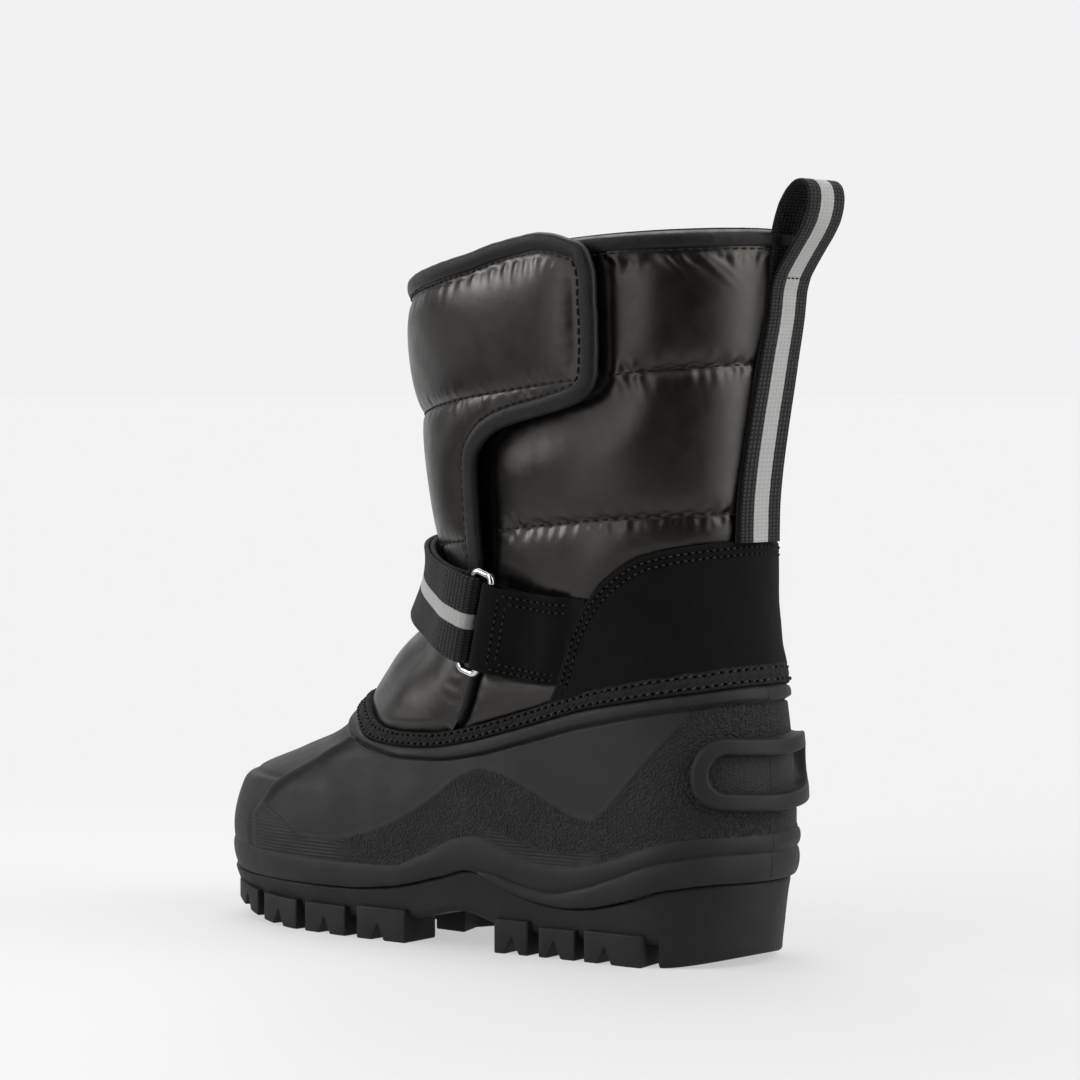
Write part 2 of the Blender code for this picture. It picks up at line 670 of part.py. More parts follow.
def upper_rows(t):
    """Levels of the upper: a sleeve down to the insole, then the quilted shaft."""
    foot = skin.v_at_height(t, lambda y: slab_floor(y) + INSOLE_THICK + 3 * FIT)
    below = skin.climb(t, topline(t), 0.2)
    start = skin.climb(t, topline(t), 0.55)
    rows = [foot + (below - foot) * a for a in np.linspace(0, 1, SLEEVE_ROWS)]
    for a in np.linspace(0, 1, 6):
        rows.append(start + (QUILT_LOW - start) * a)
    for a in np.linspace(0, 1, 5)[1:]:
        rows.append(np.full(t.shape, QUILT_LOW + (QUILT_HIGH - QUILT_LOW) * a))
    for a in np.linspace(0, 1, 5)[1:]:
        rows.append(np.full(t.shape, QUILT_HIGH + (COLLAR - QUILT_HIGH) * a))
    return np.stack(rows)


v_upper = upper_rows(T)
t_upper = np.broadcast_to(T, v_upper.shape)
p_upper = skin(t_upper, v_upper)
free, under_flap = clear_of_flap(t_upper, v_upper, p_upper)
free_over = clear_of_overlays(t_upper, v_upper, p_upper)
off_out = (puff(v_upper) * free_over - SINK * (1 - free_over)) * free - (1 - free) * PRESSED
off_out = off_out - PINCH_UPPER * pinch(t_upper, v_upper)
sleeve = OUTSOLE_INSET + RIM_WALL + FIT
off_out[:SLEEVE_ROWS] = -sleeve
off_in = np.full(v_upper.shape, -UPPER_WALL)
off_in[:SLEEVE_ROWS] = -(sleeve + SLEEVE_WALL)
slit = np.zeros((len(v_upper) - 1, COLUMNS), bool)
slit[v_upper[:-1, SLIT_COLUMN] > SLIT_FROM, SLIT_COLUMN] = True
add("upper", *wall(skin(t_upper, v_upper, off_out), skin(t_upper, v_upper, off_in), True, slit))

# ---------------------------------------------------------- topline binding
ON_UPPER = FIT - SINK                # underside of the overlays, from the skin
t_bind = T
v_a = skin.climb(t_bind, topline(t_bind), 0.8)
v_b = binding_top(t_bind)
v_bind = np.stack([v_a, (v_a + v_b) / 2, v_b])
t_rows = np.broadcast_to(t_bind, v_bind.shape)
add("topline_binding", *wall(skin(t_rows, v_bind, np.full(v_bind.shape, ON_UPPER + BINDING_THICK)),
                             skin(t_rows, v_bind, np.full(v_bind.shape, ON_UPPER)), True))

# ------------------------------------------------------------- heel counter
inner_columns = [k / COLUMNS for k in range(-9, 10)]
t_c = np.array([-COUNTER_FRONT] + inner_columns + [COUNTER_FRONT])
low_c = skin.climb(t_c, binding_top(t_c), 0.4)
high_c = counter_top(t_c)
steps = np.linspace(0, 1, 5)[:, None]
v_c = low_c + (high_c - low_c) * steps
t_rows = np.broadcast_to(t_c, v_c.shape)
add("heel_counter", *wall(skin(t_rows, v_c, np.full(v_c.shape, ON_UPPER + COUNTER_THICK)),
                          skin(t_rows, v_c, np.full(v_c.shape, ON_UPPER)), False))

# --------------------------------------------------------------- front flap
FLAP_ROWS = (0.0, 0.14, 0.27, 0.39, 0.50, 0.62)
v_rows_free = (0.67, 0.71, 0.742, 0.760, 0.770, 0.776, 0.787, 0.81, 0.85, 0.90,
               0.95, 0.98, 1.0)
FLAP_COLUMNS = 20


def flap_height(t, v, edge_mm):
    """Flat under the strap, then two quilted channels up to the collar."""
    low = np.maximum(0.633, read(BELT, t) + 0.078)
    start = np.where(v < low, 0.36, np.where(v < QUILT_HIGH, low, QUILT_HIGH))
    stop = np.where(v < low, low, np.where(v < QUILT_HIGH, QUILT_HIGH, COLLAR))
    u = np.clip((v - start) / (stop - start), 0, 1)
    swell = np.where(v < low, 0.3, 2.0) * np.sin(math.pi * u) ** 0.7
    body = FLAP_EDGE + (FLAP_BODY - FLAP_EDGE + swell) * ease(1.0, 9.0, edge_mm)
    return body - PINCH_FLAP * pinch(t, v)


t_span = np.linspace(0, 1, FLAP_COLUMNS)
rows_t, rows_v = [], []
top_of_sewn = 0.635
for a in FLAP_ROWS:
    t_row = None
    v_guess = np.full(FLAP_COLUMNS, 0.45)
    for _ in range(3):
        t_left = flap_edge(v_guess[0])
        t_row = t_left + (FLAP_SEAM - t_left) * t_span
        foot = skin.climb(t_row, binding_top(t_row), 0.9)
        v_guess = foot + (top_of_sewn - foot) * a / FLAP_ROWS[-1]
    rows_t.append(t_row)
    rows_v.append(v_guess)
for v in v_rows_free:
    t_left = float(flap_edge(v))
    t_row = t_left + (FLAP_SEAM - t_left) * t_span
    over = (read(FLAP_TOP, t_row) - COLLAR) * float(ease(0.9, 1.0, v))
    rows_t.append(t_row)
    rows_v.append(v + over)
t_flap, v_flap = np.array(rows_t), np.array(rows_v)
p_flap = skin(t_flap, v_flap)
edge_points = np.concatenate([flap_line, flap_back, p_flap[-1], p_flap[0]])
edge_mm = np.linalg.norm(p_flap[..., None, :] - edge_points, axis=-1).min(-1)
add("front_flap", *wall(skin(t_flap, v_flap, flap_height(t_flap, v_flap, edge_mm)),
                        skin(t_flap, v_flap, FLAP_UNDER - PINCH_UPPER * pinch(t_flap, v_flap)),
                        False))


# ------------------------------------------------- belt: ring, tab and strap
class Belt:
    """Places (along, across, out) in mm from the ring: flat by the ring, on the skin further off."""

    def __init__(self):
        self.t = np.linspace(BELT[0][0], BELT[-1][0], 300)
        self.v = read(BELT, self.t)
        line = skin(self.t, self.v)
        run = np.concatenate([[0], np.cumsum(np.linalg.norm(np.diff(line, axis=0), axis=-1))])
        self.run = run - np.interp(RING_AT, self.t, run)
        v_ring = float(read(BELT, RING_AT))
        self.origin = skin(RING_AT, v_ring)
        self.out = skin.normal(RING_AT, v_ring)
        ahead = skin(RING_AT + 0.02, float(read(BELT, RING_AT + 0.02)))
        ahead = ahead - skin(RING_AT - 0.02, float(read(BELT, RING_AT - 0.02)))
        ahead -= self.out * ahead.dot(self.out)
        self.ahead = ahead / np.linalg.norm(ahead)
        self.up = np.cross(self.ahead, self.out)
        if self.up[2] < 0:
            self.up = -self.up
        rise = skin(self.t, self.v + 0.02) - skin(self.t, self.v - 0.02)
        self.per_mm = 0.04 / np.linalg.norm(rise, axis=-1)

    def flat(self, along, across, out):
        return (self.origin + np.asarray(along)[..., None] * self.ahead
                + np.asarray(across)[..., None] * self.up + np.asarray(out)[..., None] * self.out)

    def __call__(self, along, across, out):
        along, across, out = np.broadcast_arrays(*[np.asarray(a, float)
                                                   for a in (along, across, out)])
        t = np.interp(along, self.run, self.t)
        v = np.interp(along, self.run, self.v) + across * np.interp(along, self.run, self.per_mm)
        front = ease(0.325, 0.39, t) * (1 - ease(0.61, 0.665, t))
        out = out + STRAP_LEAN * front * (across / WEB_WIDE + 0.5)
        far = ease(5.0, 20.0, np.abs(along))[..., None]
        return self.flat(along, across, out) * (1 - far) + skin(t, v, out) * far

    def at(self, t):
        return float(np.interp(t, self.t, self.run))


belt = Belt()


def ribbon(path, wide, thick, stations, place):
    """A band of the given thickness whose middle follows path (along, out)."""
    path = np.array(path, float)
    d = np.gradient(path, axis=0)
    n = np.stack([-d[:, 1], d[:, 0]], -1)
    n /= np.linalg.norm(n, axis=-1, keepdims=True)
    across = np.linspace(-wide / 2, wide / 2, stations)
    sides = []
    for sign in (1, -1):
        edge = path + n * (sign * thick / 2)
        sides.append(place(edge[:, None, 0], across[None, :], edge[:, None, 1]))
    return wall(sides[0], sides[1], False)


def turn(centre, radius, first, last, count):
    return [(centre[0] + radius * math.cos(a), centre[1] + radius * math.sin(a))
            for a in np.linspace(first, last, count)]


# ring: round wire bent to a long rectangle
ring_path = []
for cx, cy, start in ((1, 1, 0.0), (-1, 1, 0.5), (-1, -1, 1.0), (1, -1, 1.5)):
    for k in range(5):
        a = math.pi * (start + k / 8)
        ring_path.append((cx * (RING_HALF_WIDE - RING_CORNER) + RING_CORNER * math.cos(a),
                          cy * (RING_HALF_LONG - RING_CORNER) + RING_CORNER * math.sin(a),
                          math.cos(a), math.sin(a)))
wire_verts, wire_faces, WIRE_SIDES = [], [], 10
for a, b, c, d in ring_path:
    for k in range(WIRE_SIDES):
        q = 2 * math.pi * k / WIRE_SIDES
        out = WIRE * math.cos(q)
        wire_verts.append(belt.flat(np.array(a + c * out), np.array(b + d * out),
                                    np.array(RING_OFF + WIRE * math.sin(q))))
for i in range(len(ring_path)):
    j = (i + 1) % len(ring_path)
    for k in range(WIRE_SIDES):
        m = (k + 1) % WIRE_SIDES
        wire_faces.append((i * WIRE_SIDES + k, i * WIRE_SIDES + m,
                           j * WIRE_SIDES + m, j * WIRE_SIDES + k))
add("strap_ring", wire_verts, wire_faces)

# tab: a strip folded round the ring's rear bar, both ends under the counter's edge
tab_rear = belt.at(COUNTER_FRONT) + 0.7
bar = -RING_HALF_WIDE
eye = WIRE + 0.35 + TAB_THICK / 2
low_level = ON_UPPER + TAB_THICK / 2
high_level = low_level + TAB_THICK + 0.3
low_run = [(a, low_level + (RING_OFF - eye - low_level) * float(ease(-16.0, bar, a)))
           for a in np.linspace(tab_rear, bar, 9)[:-1]]
high_run = [(a, high_level + (RING_OFF + eye - high_level) * float(ease(-17.0, bar, a)))
            for a in np.linspace(bar, tab_rear, 9)[1:]]
tab_path = low_run + turn((bar, RING_OFF), eye, -math.pi / 2, math.pi / 2, 9) + high_run
add("ring_tab", *ribbon(tab_path, TAB_WIDE, TAB_THICK, 5, belt))

# strap: sewn at the inner side, over the flap, round the ring's front bar and back
bar = RING_HALF_WIDE
bend = WIRE + 0.35 + WEB_THICK / 2
end, tip = belt.at(STRAP_END), belt.at(STRAP_TIP)
seam = belt.at(FLAP_SEAM)
on_flap = FLAP_BODY + 0.3 + FIT + 0.3 + WEB_THICK / 2
on_upper = ON_UPPER + WEB_THICK / 2 + 0.5


def lower_level(a):
    down = on_upper + (on_flap - on_upper) * float(ease(seam + 9.0, seam - 4.0, a))
    t = float(np.interp(a, belt.run, belt.t))
    down -= PINCH_FLAP * float(pinch(t, read(BELT, t)))
    return down + (RING_OFF - bend - on_flap) * (1 - float(ease(bar, bar + 9.0, a)))


def upper_level(a):
    t = float(np.interp(a, belt.run, belt.t))
    rest = on_flap + WEB_THICK + 0.4 - PINCH_FLAP * float(pinch(t, read(BELT, t)))
    return rest + (RING_OFF + bend - rest) * (1 - float(ease(bar, bar + 14.0, a)))


inner_run = [(a, lower_level(a)) for a in np.linspace(end, bar, 24)[:-1]]
outer_run = [(a, upper_level(a)) for a in np.linspace(bar, tip, 20)[1:]]
strap_path = inner_run + turn((bar, RING_OFF), bend, -math.pi / 2, -1.5 * math.pi, 9) + outer_run
add("instep_strap", *ribbon(strap_path, WEB_WIDE, WEB_THICK, 5, belt))

# ---------------------------------------------------------------- pull loop
# the web goes up the back, over in a loop that leans out, and down on itself;
# loop: distance out from the web's own line, and height from the collar
LOOP = ((0.0, 0.0), (0.8, 3.0), (2.0, 6.0), (4.0, 9.4), (6.6, 11.7), (9.0, 12.1), (10.8, 10.9),
        (11.5, 8.4), (11.1, 5.4), (9.7, 2.2), (7.3, -1.2), (4.8, -4.8), (2.9, -8.5), (1.8, -12.0))
web = ON_UPPER + PULL_THICK / 2
over_web = PULL_THICK + 0.3
rise_per_v = float(np.linalg.norm(skin(0.0, 1.0) - skin(0.0, 0.98))) / 0.02
foot_height = (float(skin.climb(0.0, 0.603, 0.5)) - COLLAR) * rise_per_v
pull_path = [(web, h) for h in np.linspace(foot_height, -5.0, 10)]
pull_path += [(web + a, h) for a, h in LOOP]
pull_path += [(web + over_web, h) for h in np.linspace(-16.0, foot_height, 9)]
pull_path = np.array(pull_path)
across = np.linspace(-PULL_WIDE / 2, PULL_WIDE / 2, 5) + PULL_CENTRE_X


def t_at_x(x, v):
    t = np.linspace(-0.1, 0.1, 81)
    xs = skin(t, np.full(81, v))[:, 0]
    return float(np.interp(-x, -xs, t))


def pull_row(out, height):
    """Points across the web at a distance out and a height from the collar."""
    v = COLLAR + min(height, 0.0) / rise_per_v
    row = np.stack([skin(t_at_x(x, v), v, web) for x in across])
    row += skin.normal(t_at_x(PULL_CENTRE_X, v), v) * (out - web)
    if height > 0:
        row += (skin(0.0, 1.0) - skin(0.0, 0.98)) / (0.02 * rise_per_v) * height
    return row


d = np.gradient(pull_path, axis=0)
n = np.stack([d[:, 1], -d[:, 0]], -1)
n /= np.linalg.norm(n, axis=-1, keepdims=True)
pull_sides = []
for sign in (1, -1):
    edge = pull_path + n * (sign * PULL_THICK / 2)
    pull_sides.append(np.stack([pull_row(o, h) for o, h in edge]))
add("pull_loop", *wall(pull_sides[0], pull_sides[1], False))
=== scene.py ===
import math

import bmesh
import bpy
import numpy as np
from mathutils import Matrix, Vector


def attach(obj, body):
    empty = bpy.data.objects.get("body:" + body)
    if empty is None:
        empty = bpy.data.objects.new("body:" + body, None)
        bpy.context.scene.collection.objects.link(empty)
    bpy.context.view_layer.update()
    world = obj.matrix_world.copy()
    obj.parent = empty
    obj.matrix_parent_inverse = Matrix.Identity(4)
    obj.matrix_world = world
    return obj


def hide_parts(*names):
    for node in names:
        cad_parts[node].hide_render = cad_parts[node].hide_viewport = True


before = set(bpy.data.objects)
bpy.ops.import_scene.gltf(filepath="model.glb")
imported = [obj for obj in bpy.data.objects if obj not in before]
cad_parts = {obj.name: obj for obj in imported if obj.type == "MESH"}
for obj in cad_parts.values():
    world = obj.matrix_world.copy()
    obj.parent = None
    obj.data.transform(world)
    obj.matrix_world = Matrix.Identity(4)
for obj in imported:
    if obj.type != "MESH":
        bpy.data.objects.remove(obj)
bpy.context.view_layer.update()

# Looks of a child's left winter boot: a moulded rubber shell with a quilted
# nylon shaft.  Shapes are worked out in millimetres from the back of the heel,
# on the same skin S(t, v) as the solids: t goes round (0 centre back, 0.25
# outer side, 0.5 centre front), v climbs from the sole (0) to the collar (1).

# ------------------------------------------------------------------ sizes, mm
MM = 0.001
SHIFT = np.array([-0.97, 91.2, 0.0])

SHELL_WALL, UPPER_WALL = 2.6, 5.6
FIT, SINK, PRESSED, SEAM_DIP = 0.4, 0.7, 1.2, 0.5
ON_UPPER = FIT - SINK
BINDING_HIGH, BINDING_THICK = 5.6, 1.2
COUNTER_THICK, COUNTER_FRONT = 1.2, 0.195
PINCH_UPPER, PINCH_FLAP = 1.8, 2.8
FLAP_UNDER, FLAP_BODY, FLAP_EDGE, FLAP_SEAM = -0.7, 1.8, 1.1, 0.685
WEB_WIDE, WEB_THICK = 24.6, 1.4
TAB_WIDE, TAB_THICK = 24.4, 1.15
RING_AT, RING_OFF = 0.298, 4.8
RING_HALF_LONG, RING_HALF_WIDE, RING_CORNER, WIRE = 14.2, 3.5, 2.0, 1.1
STRAP_END, STRAP_TIP, STRAP_LEAN = 0.715, 0.60, 3.4
PULL_WIDE, PULL_THICK = 17.2, 1.1
OUTSOLE_INSET, RIM_WALL = 0.4, 2.9
INSOLE_THICK = 4.0
LUG_GROW, LUG_DEEP = 1.3, 13.0
NOTCH_HALF, NOTCH_HIGH = 2.2, 4.6
LEDGE_V, LEDGE_HALF_LONG, LEDGE_HALF_HIGH = 0.247, 23.5, 7.3
LEDGE_BAR, LEDGE_PROUD = 4.3, 3.6
QUILT_LOW, QUILT_HIGH, COLLAR = 0.64, 0.81, 1.0
HEEL_BLOCK_TO = 20.5

# level: v, heights at back / side / front, back and front of the ring, length
# of the round at back and front, half widths, squareness and swing of the toe
RINGS = {
    "tread":      (-0.08,   5.0,   4.0,   7.0,  4.0, 191.0, 28, 54, 26.5, 37.0, 2.3, 4.5),
    "welt":       (0.00,   17.0,  15.0,  15.5,  2.5, 194.5, 28, 54, 27.0, 38.0, 2.3, 4.5),
    "bead":       (0.08,   27.5,  27.0,  26.5,  1.5, 196.0, 28, 54, 29.0, 39.0, 2.3, 4.5),
    "wall":       (0.17,   41.5,  40.0,  39.5,  0.5, 193.5, 29, 54, 28.5, 37.5, 2.2, 4.5),
    "toe_top":    (0.26,   54.0,  49.0,  49.5,  1.0, 172.5, 30, 56, 28.0, 34.5, 2.1, 4.0),
    "topline":    (0.36,   77.0,  59.0,  56.0,  3.5, 157.0, 32, 60, 27.5, 31.5, 2.0, 2.5),
    "ankle":      (0.50,   97.0,  83.5,  89.5,  6.5, 125.5, 36, 54, 28.5, 31.0, 2.0, 0.5),
    "quilt_low":  (0.64,  122.0, 118.0, 111.0,  7.5, 111.5, 40, 50, 32.0, 33.5, 2.0, 0.0),
    "quilt_high": (0.81,  162.0, 155.5, 147.0,  3.0, 117.0, 48, 54, 38.0, 37.5, 2.0, 0.0),
    "collar":     (1.00,  198.0, 193.5, 184.0, -0.5, 121.5, 54, 58, 42.0, 41.0, 2.0, 0.0),
    "brim":       (1.03,  203.5, 199.5, 190.0, -1.0, 122.0, 55, 59, 42.6, 41.5, 2.0, 0.0),
}
TOPLINE = ((0.00, 0.352), (0.05, 0.357), (0.10, 0.369), (0.16, 0.380),
           (0.22, 0.367), (0.26, 0.352), (0.30, 0.341), (0.335, 0.345),
           (0.37, 0.355), (0.43, 0.386), (0.50, 0.405))
# lower edge of the smooth bead under the topline: t, v
BEAD_LOW = ((0.00, 0.333), (0.054, 0.340), (0.10, 0.347), (0.156, 0.350), (0.208, 0.336),
            (0.249, 0.312), (0.278, 0.300), (0.310, 0.302), (0.362, 0.333), (0.43, 0.367),
            (0.50, 0.388))
COUNTER_TOP = ((0.00, 0.603), (0.075, 0.601), (0.122, 0.595),
               (0.157, 0.575), (0.182, 0.545), (0.197, 0.505))
FLAP_EDGE_LINE = ((0.36, 0.281), (0.41, 0.283), (0.45, 0.290), (0.53, 0.304),
                  (0.60, 0.310), (0.68, 0.308), (0.730, 0.303), (0.752, 0.289),
                  (0.768, 0.261), (0.775, 0.212), (0.787, 0.172),
                  (0.815, 0.161), (0.87, 0.160), (0.945, 0.161),
                  (0.985, 0.168), (1.00, 0.185))
FLAP_TOP = ((0.15, 1.000), (0.185, 1.002), (0.21, 1.0105), (0.25, 1.0085),
            (0.31, 1.000), (0.37, 0.999), (0.70, 1.000))
BELT = ((0.17, 0.492), (0.25, 0.518), (0.30, 0.5375), (0.35, 0.549),
        (0.41, 0.566), (0.46, 0.582), (0.50, 0.588), (0.54, 0.582),
        (0.59, 0.566), (0.65, 0.549), (0.70, 0.5375), (0.74, 0.525))
WAVE = ((0, 23.0), (5, 23.0), (18, 21.2), (31, 17.2), (45, 14.2), (51, 13.8),
        (59, 14.5), (70, 17.5), (77, 21.0), (82, 22.0), (92, 19.5),
        (109, 15.5), (126, 13.8), (143, 13.5), (176, 13.6), (197, 15.5))
# groove between the two heel bands, and top edge of the lower band: y, z
HEEL_GROOVE = ((0, 31.0), (5, 31.0), (18, 29.0), (31, 24.5), (45, 20.0), (56, 17.8),
               (64, 19.0), (72, 21.2), (79, 22.4))
BAND_TOP = ((0, 36.0), (3.5, 36.0), (13, 35.2), (24, 32.2), (38, 27.5), (50, 25.5), (59, 26.0),
            (69, 29.0), (79.5, 32.0), (87, 30.5), (98, 25.2), (109, 21.8), (131, 21.4),
            (150, 21.6), (172, 22.2), (197, 23.6))
# top edge of the pebbled field on the side, y, z; at the heel it runs up to the bead
PEBBLE_TOP = ((0, 90.0), (11, 78.0), (12.7, 70.6), (14.5, 66.8), (19.8, 60.2), (28.1, 50.6),
              (38.3, 39.9), (40.4, 38.4), (46.1, 39.1), (58.3, 44.1), (72.3, 49.5),
              (79.3, 50.3), (86.0, 47.8), (95.4, 40.9), (109.9, 32.8), (126.1, 28.2),
              (135.9, 27.4), (145.6, 27.8), (153.8, 32.2), (163.6, 35.5), (176, 37.0), (197, 38.0))
# raised line over the toe, from the instep to the toe's outer corner: t, v
TOE_RIDGE = ((0.413, 0.392), (0.408, 0.376), (0.403, 0.362), (0.394, 0.310), (0.385, 0.2585),
             (0.376, 0.205), (0.382, 0.161), (0.393, 0.114))
SLAB = ((0, 13.2, 6.5), (55, 13.0, 6.0), (72, 14.2, 7.2), (86, 15.6, 10.4),
        (100, 14.4, 7.4), (112, 12.8, 5.6), (148, 12.6, 5.8),
        (172, 12.9, 7.6), (197, 14.0, 9.6))
SIDE_LUGS = ((25.0, 37.0, 44.0, 8.8), (47.0, 54.0, 59.0, 8.4),
             (62.5, 67.8, 73.6, 9.6), (104.0, 114.0, 121.8, 9.4),
             (126.2, 134.6, 142.6, 8.6), (146.2, 154.6, 162.0, 8.8),
             (165.5, 172.5, 180.5, 10.0))
MIDDLE_LUGS = ((35.0, 6.0, 7.0), (53.0, 5.0, 7.0), (113.0, 5.5, 10.0),
               (134.0, 5.5, 12.0), (154.0, 5.0, 11.0), (172.0, 4.0, 7.0))
# puckers along the sewn lines: place t (or t, v), length, half width, height, lean
COLLAR_FOLDS = ((0.164, 9.0, 1.5, 0.8, -0.9), (0.151, 7.0, 1.3, 0.6, -0.3), (0.143, 11.0, 1.4, 0.8, 0.1),
                (0.128, 5.0, 1.2, 0.4, 0.0), (0.108, 9.0, 1.3, 0.9, -0.9), (0.094, 5.0, 1.2, 0.5, -0.4),
                (0.079, 12.0, 1.4, 1.0, -1.1), (0.070, 10.0, 1.3, 0.9, -1.1), (0.058, 6.0, 1.2, 0.5, -0.5),
                (0.047, 7.0, 1.2, 0.7, 0.0), (0.037, 6.0, 1.1, 0.6, 0.0), (0.028, 6.0, 1.1, 0.6, 0.2))
UPPER_SEAM_FOLDS = ((0.1480, 6.0, 1.2, 0.6, 0.2), (0.1415, 8.0, 1.4, 0.9, -0.2), (0.1285, 9.0, 1.3, 0.9, -0.3),
                    (0.1165, 5.0, 1.1, 0.6, 0.0), (0.1090, 6.0, 1.1, 0.7, 0.1), (0.1025, 5.0, 1.0, 0.5, 0.0),
                    (0.0920, 5.0, 1.2, 0.5, -0.2), (0.0815, 7.0, 1.2, 0.8, 0.0), (0.0675, 6.0, 1.1, 0.6, 0.1),
                    (0.0585, 7.0, 1.2, 0.8, -0.1), (0.0475, 6.0, 1.1, 0.7, 0.0), (0.0370, 7.0, 1.1, 0.8, 0.2))
LOWER_SEAM_FOLDS = ((0.286, 4.8, 1.3, 0.43, 0.0), (0.263, 5.6, 1.3, 0.50, 0.2), (0.2465, 4.8, 1.2, 0.37, 0.0),
                    (0.234, 5.6, 1.2, 0.50, -0.1), (0.221, 4.8, 1.2, 0.37, 0.0), (0.2035, 6.4, 1.4, 0.56, 0.2),
                    (0.1895, 4.8, 1.2, 0.37, 0.0), (0.175, 4.0, 1.1, 0.31, 0.0), (0.161, 5.6, 1.3, 0.50, -0.2),
                    (0.149, 4.0, 1.1, 0.31, 0.0), (0.1375, 6.4, 1.3, 0.56, 0.1), (0.126, 4.0, 1.1, 0.31, 0.0),
                    (0.114, 4.8, 1.2, 0.43, 0.0), (0.099, 4.0, 1.1, 0.31, 0.1), (0.085, 5.6, 1.2, 0.50, 0.0),
                    (0.0715, 5.6, 1.2, 0.50, 0.0), (0.0595, 5.6, 1.1, 0.50, 0.0), (0.0495, 4.8, 1.1, 0.43, 0.0),
                    (0.037, 5.6, 1.1, 0.50, 0.1))
OVER_SEAM_FOLDS = ((0.285, 5.0, 1.5, 0.4, 0.0), (0.255, 6.0, 1.6, 0.4, 0.2), (0.228, 5.0, 1.5, 0.4, 0.0),
                   (0.200, 6.0, 1.6, 0.5, 0.0), (0.172, 5.0, 1.5, 0.4, -0.2), (0.150, 6.0, 1.5, 0.5, 0.0),
                   (0.131, 5.0, 1.4, 0.4, 0.2), (0.111, 6.0, 1.5, 0.5, 0.0), (0.089, 5.0, 1.4, 0.4, 0.0),
                   (0.066, 6.0, 1.5, 0.5, -0.2), (0.045, 5.0, 1.4, 0.4, 0.0))
FLAP_RIM_FOLDS = ((0.335, 0.968, 6.0, 1.2, 0.56, 0.1), (0.319, 0.970, 8.0, 1.3, 0.72, 0.3), (0.305, 0.971, 5.0, 1.1, 0.40, 0.0),
                  (0.288, 0.973, 6.0, 1.2, 0.48, 0.2), (0.275, 0.974, 5.0, 1.2, 0.40, 0.0), (0.2635, 0.975, 7.0, 1.3, 0.72, 0.2),
                  (0.248, 0.977, 7.0, 1.3, 0.64, 0.0), (0.234, 0.979, 8.0, 1.3, 0.72, 0.2), (0.2225, 0.980, 7.0, 1.2, 0.72, 0.1),
                  (0.212, 0.981, 8.0, 1.3, 0.80, 0.0), (0.2005, 0.980, 7.0, 1.2, 0.64, -0.1), (0.191, 0.972, 6.0, 1.2, 0.56, 0.0),
                  (0.182, 0.947, 6.0, 1.3, 0.39, 0.0), (0.180, 0.931, 5.0, 1.2, 0.28, 0.0), (0.180, 0.914, 6.0, 1.3, 0.44, 0.1),
                  (0.180, 0.899, 5.0, 1.2, 0.33, 0.0), (0.180, 0.884, 6.0, 1.3, 0.44, 0.0), (0.180, 0.870, 5.0, 1.2, 0.33, 0.1),
                  (0.181, 0.857, 6.0, 1.3, 0.44, 0.0), (0.182, 0.846, 5.0, 1.1, 0.33, 0.0), (0.184, 0.836, 5.0, 1.1, 0.33, -0.1),
                  (0.36, 0.963, 6.0, 1.3, 0.56, 0.0), (0.39, 0.962, 7.0, 1.4, 0.64, 0.2), (0.42, 0.962, 5.0, 1.2, 0.48, 0.0),
                  (0.445, 0.962, 7.0, 1.4, 0.64, -0.2), (0.475, 0.962, 6.0, 1.3, 0.56, 0.0), (0.505, 0.962, 8.0, 1.4, 0.72, 0.1),
                  (0.535, 0.962, 6.0, 1.3, 0.48, 0.0), (0.565, 0.962, 7.0, 1.4, 0.64, 0.2), (0.60, 0.962, 6.0, 1.3, 0.56, 0.0),
                  (0.635, 0.962, 7.0, 1.4, 0.64, -0.2), (0.665, 0.962, 6.0, 1.3, 0.56, 0.0),
                  (0.305, 0.735, 5.0, 1.3, 0.40, 0.0), (0.318, 0.68, 6.0, 1.4, 0.40, 0.2), (0.320, 0.62, 5.0, 1.3, 0.40, 0.0),
                  (0.296, 0.455, 5.0, 1.2, 0.48, 0.0), (0.294, 0.435, 6.0, 1.2, 0.56, 0.0), (0.292, 0.415, 5.0, 1.2, 0.48, 0.0))
# pull loop: distance out from the web's own line, height from the collar
LOOP = ((0.0, 0.0), (0.6, 3.4), (1.5, 7.0), (3.2, 10.6), (5.4, 13.2), (7.6, 13.8), (9.5, 12.6),
        (10.3, 10.0), (10.3, 6.8), (9.6, 3.2), (8.0, -0.4), (5.9, -4.2), (3.8, -8.2), (2.0, -12.0))


# -------------------------------------------------------------------- helpers
def flow(x, y, q):
    """Monotone cubic through the rows (x, y), read at q."""
    x, y = np.asarray(x, float), np.asarray(y, float)
    flat = y.ndim == 1
    y = y[:, None] if flat else y
    h = np.diff(x)[:, None]
    d = np.diff(y, axis=0) / h
    m = np.zeros_like(y)
    w1, w2 = 2 * h[1:] + h[:-1], h[1:] + 2 * h[:-1]
    same = d[1:] * d[:-1] > 0
    with np.errstate(divide="ignore", invalid="ignore"):
        m[1:-1] = np.where(same, (w1 + w2) / (w1 / d[:-1] + w2 / d[1:]), 0.0)
    m[0], m[-1] = d[0], d[-1]
    q = np.asarray(q, float)
    shape, q = q.shape, np.clip(q.ravel(), x[0], x[-1])
    i = np.clip(np.searchsorted(x, q) - 1, 0, len(x) - 2)
    w = (x[i + 1] - x[i])[:, None]
    u = ((q - x[i])[:, None]) / w
    out = ((2 * u**3 - 3 * u**2 + 1) * y[i] + (u**3 - 2 * u**2 + u) * w * m[i]
           + (3 * u**2 - 2 * u**3) * y[i + 1] + (u**3 - u**2) * w * m[i + 1])
    return out[:, 0].reshape(shape) if flat else out.reshape(shape + (-1,))


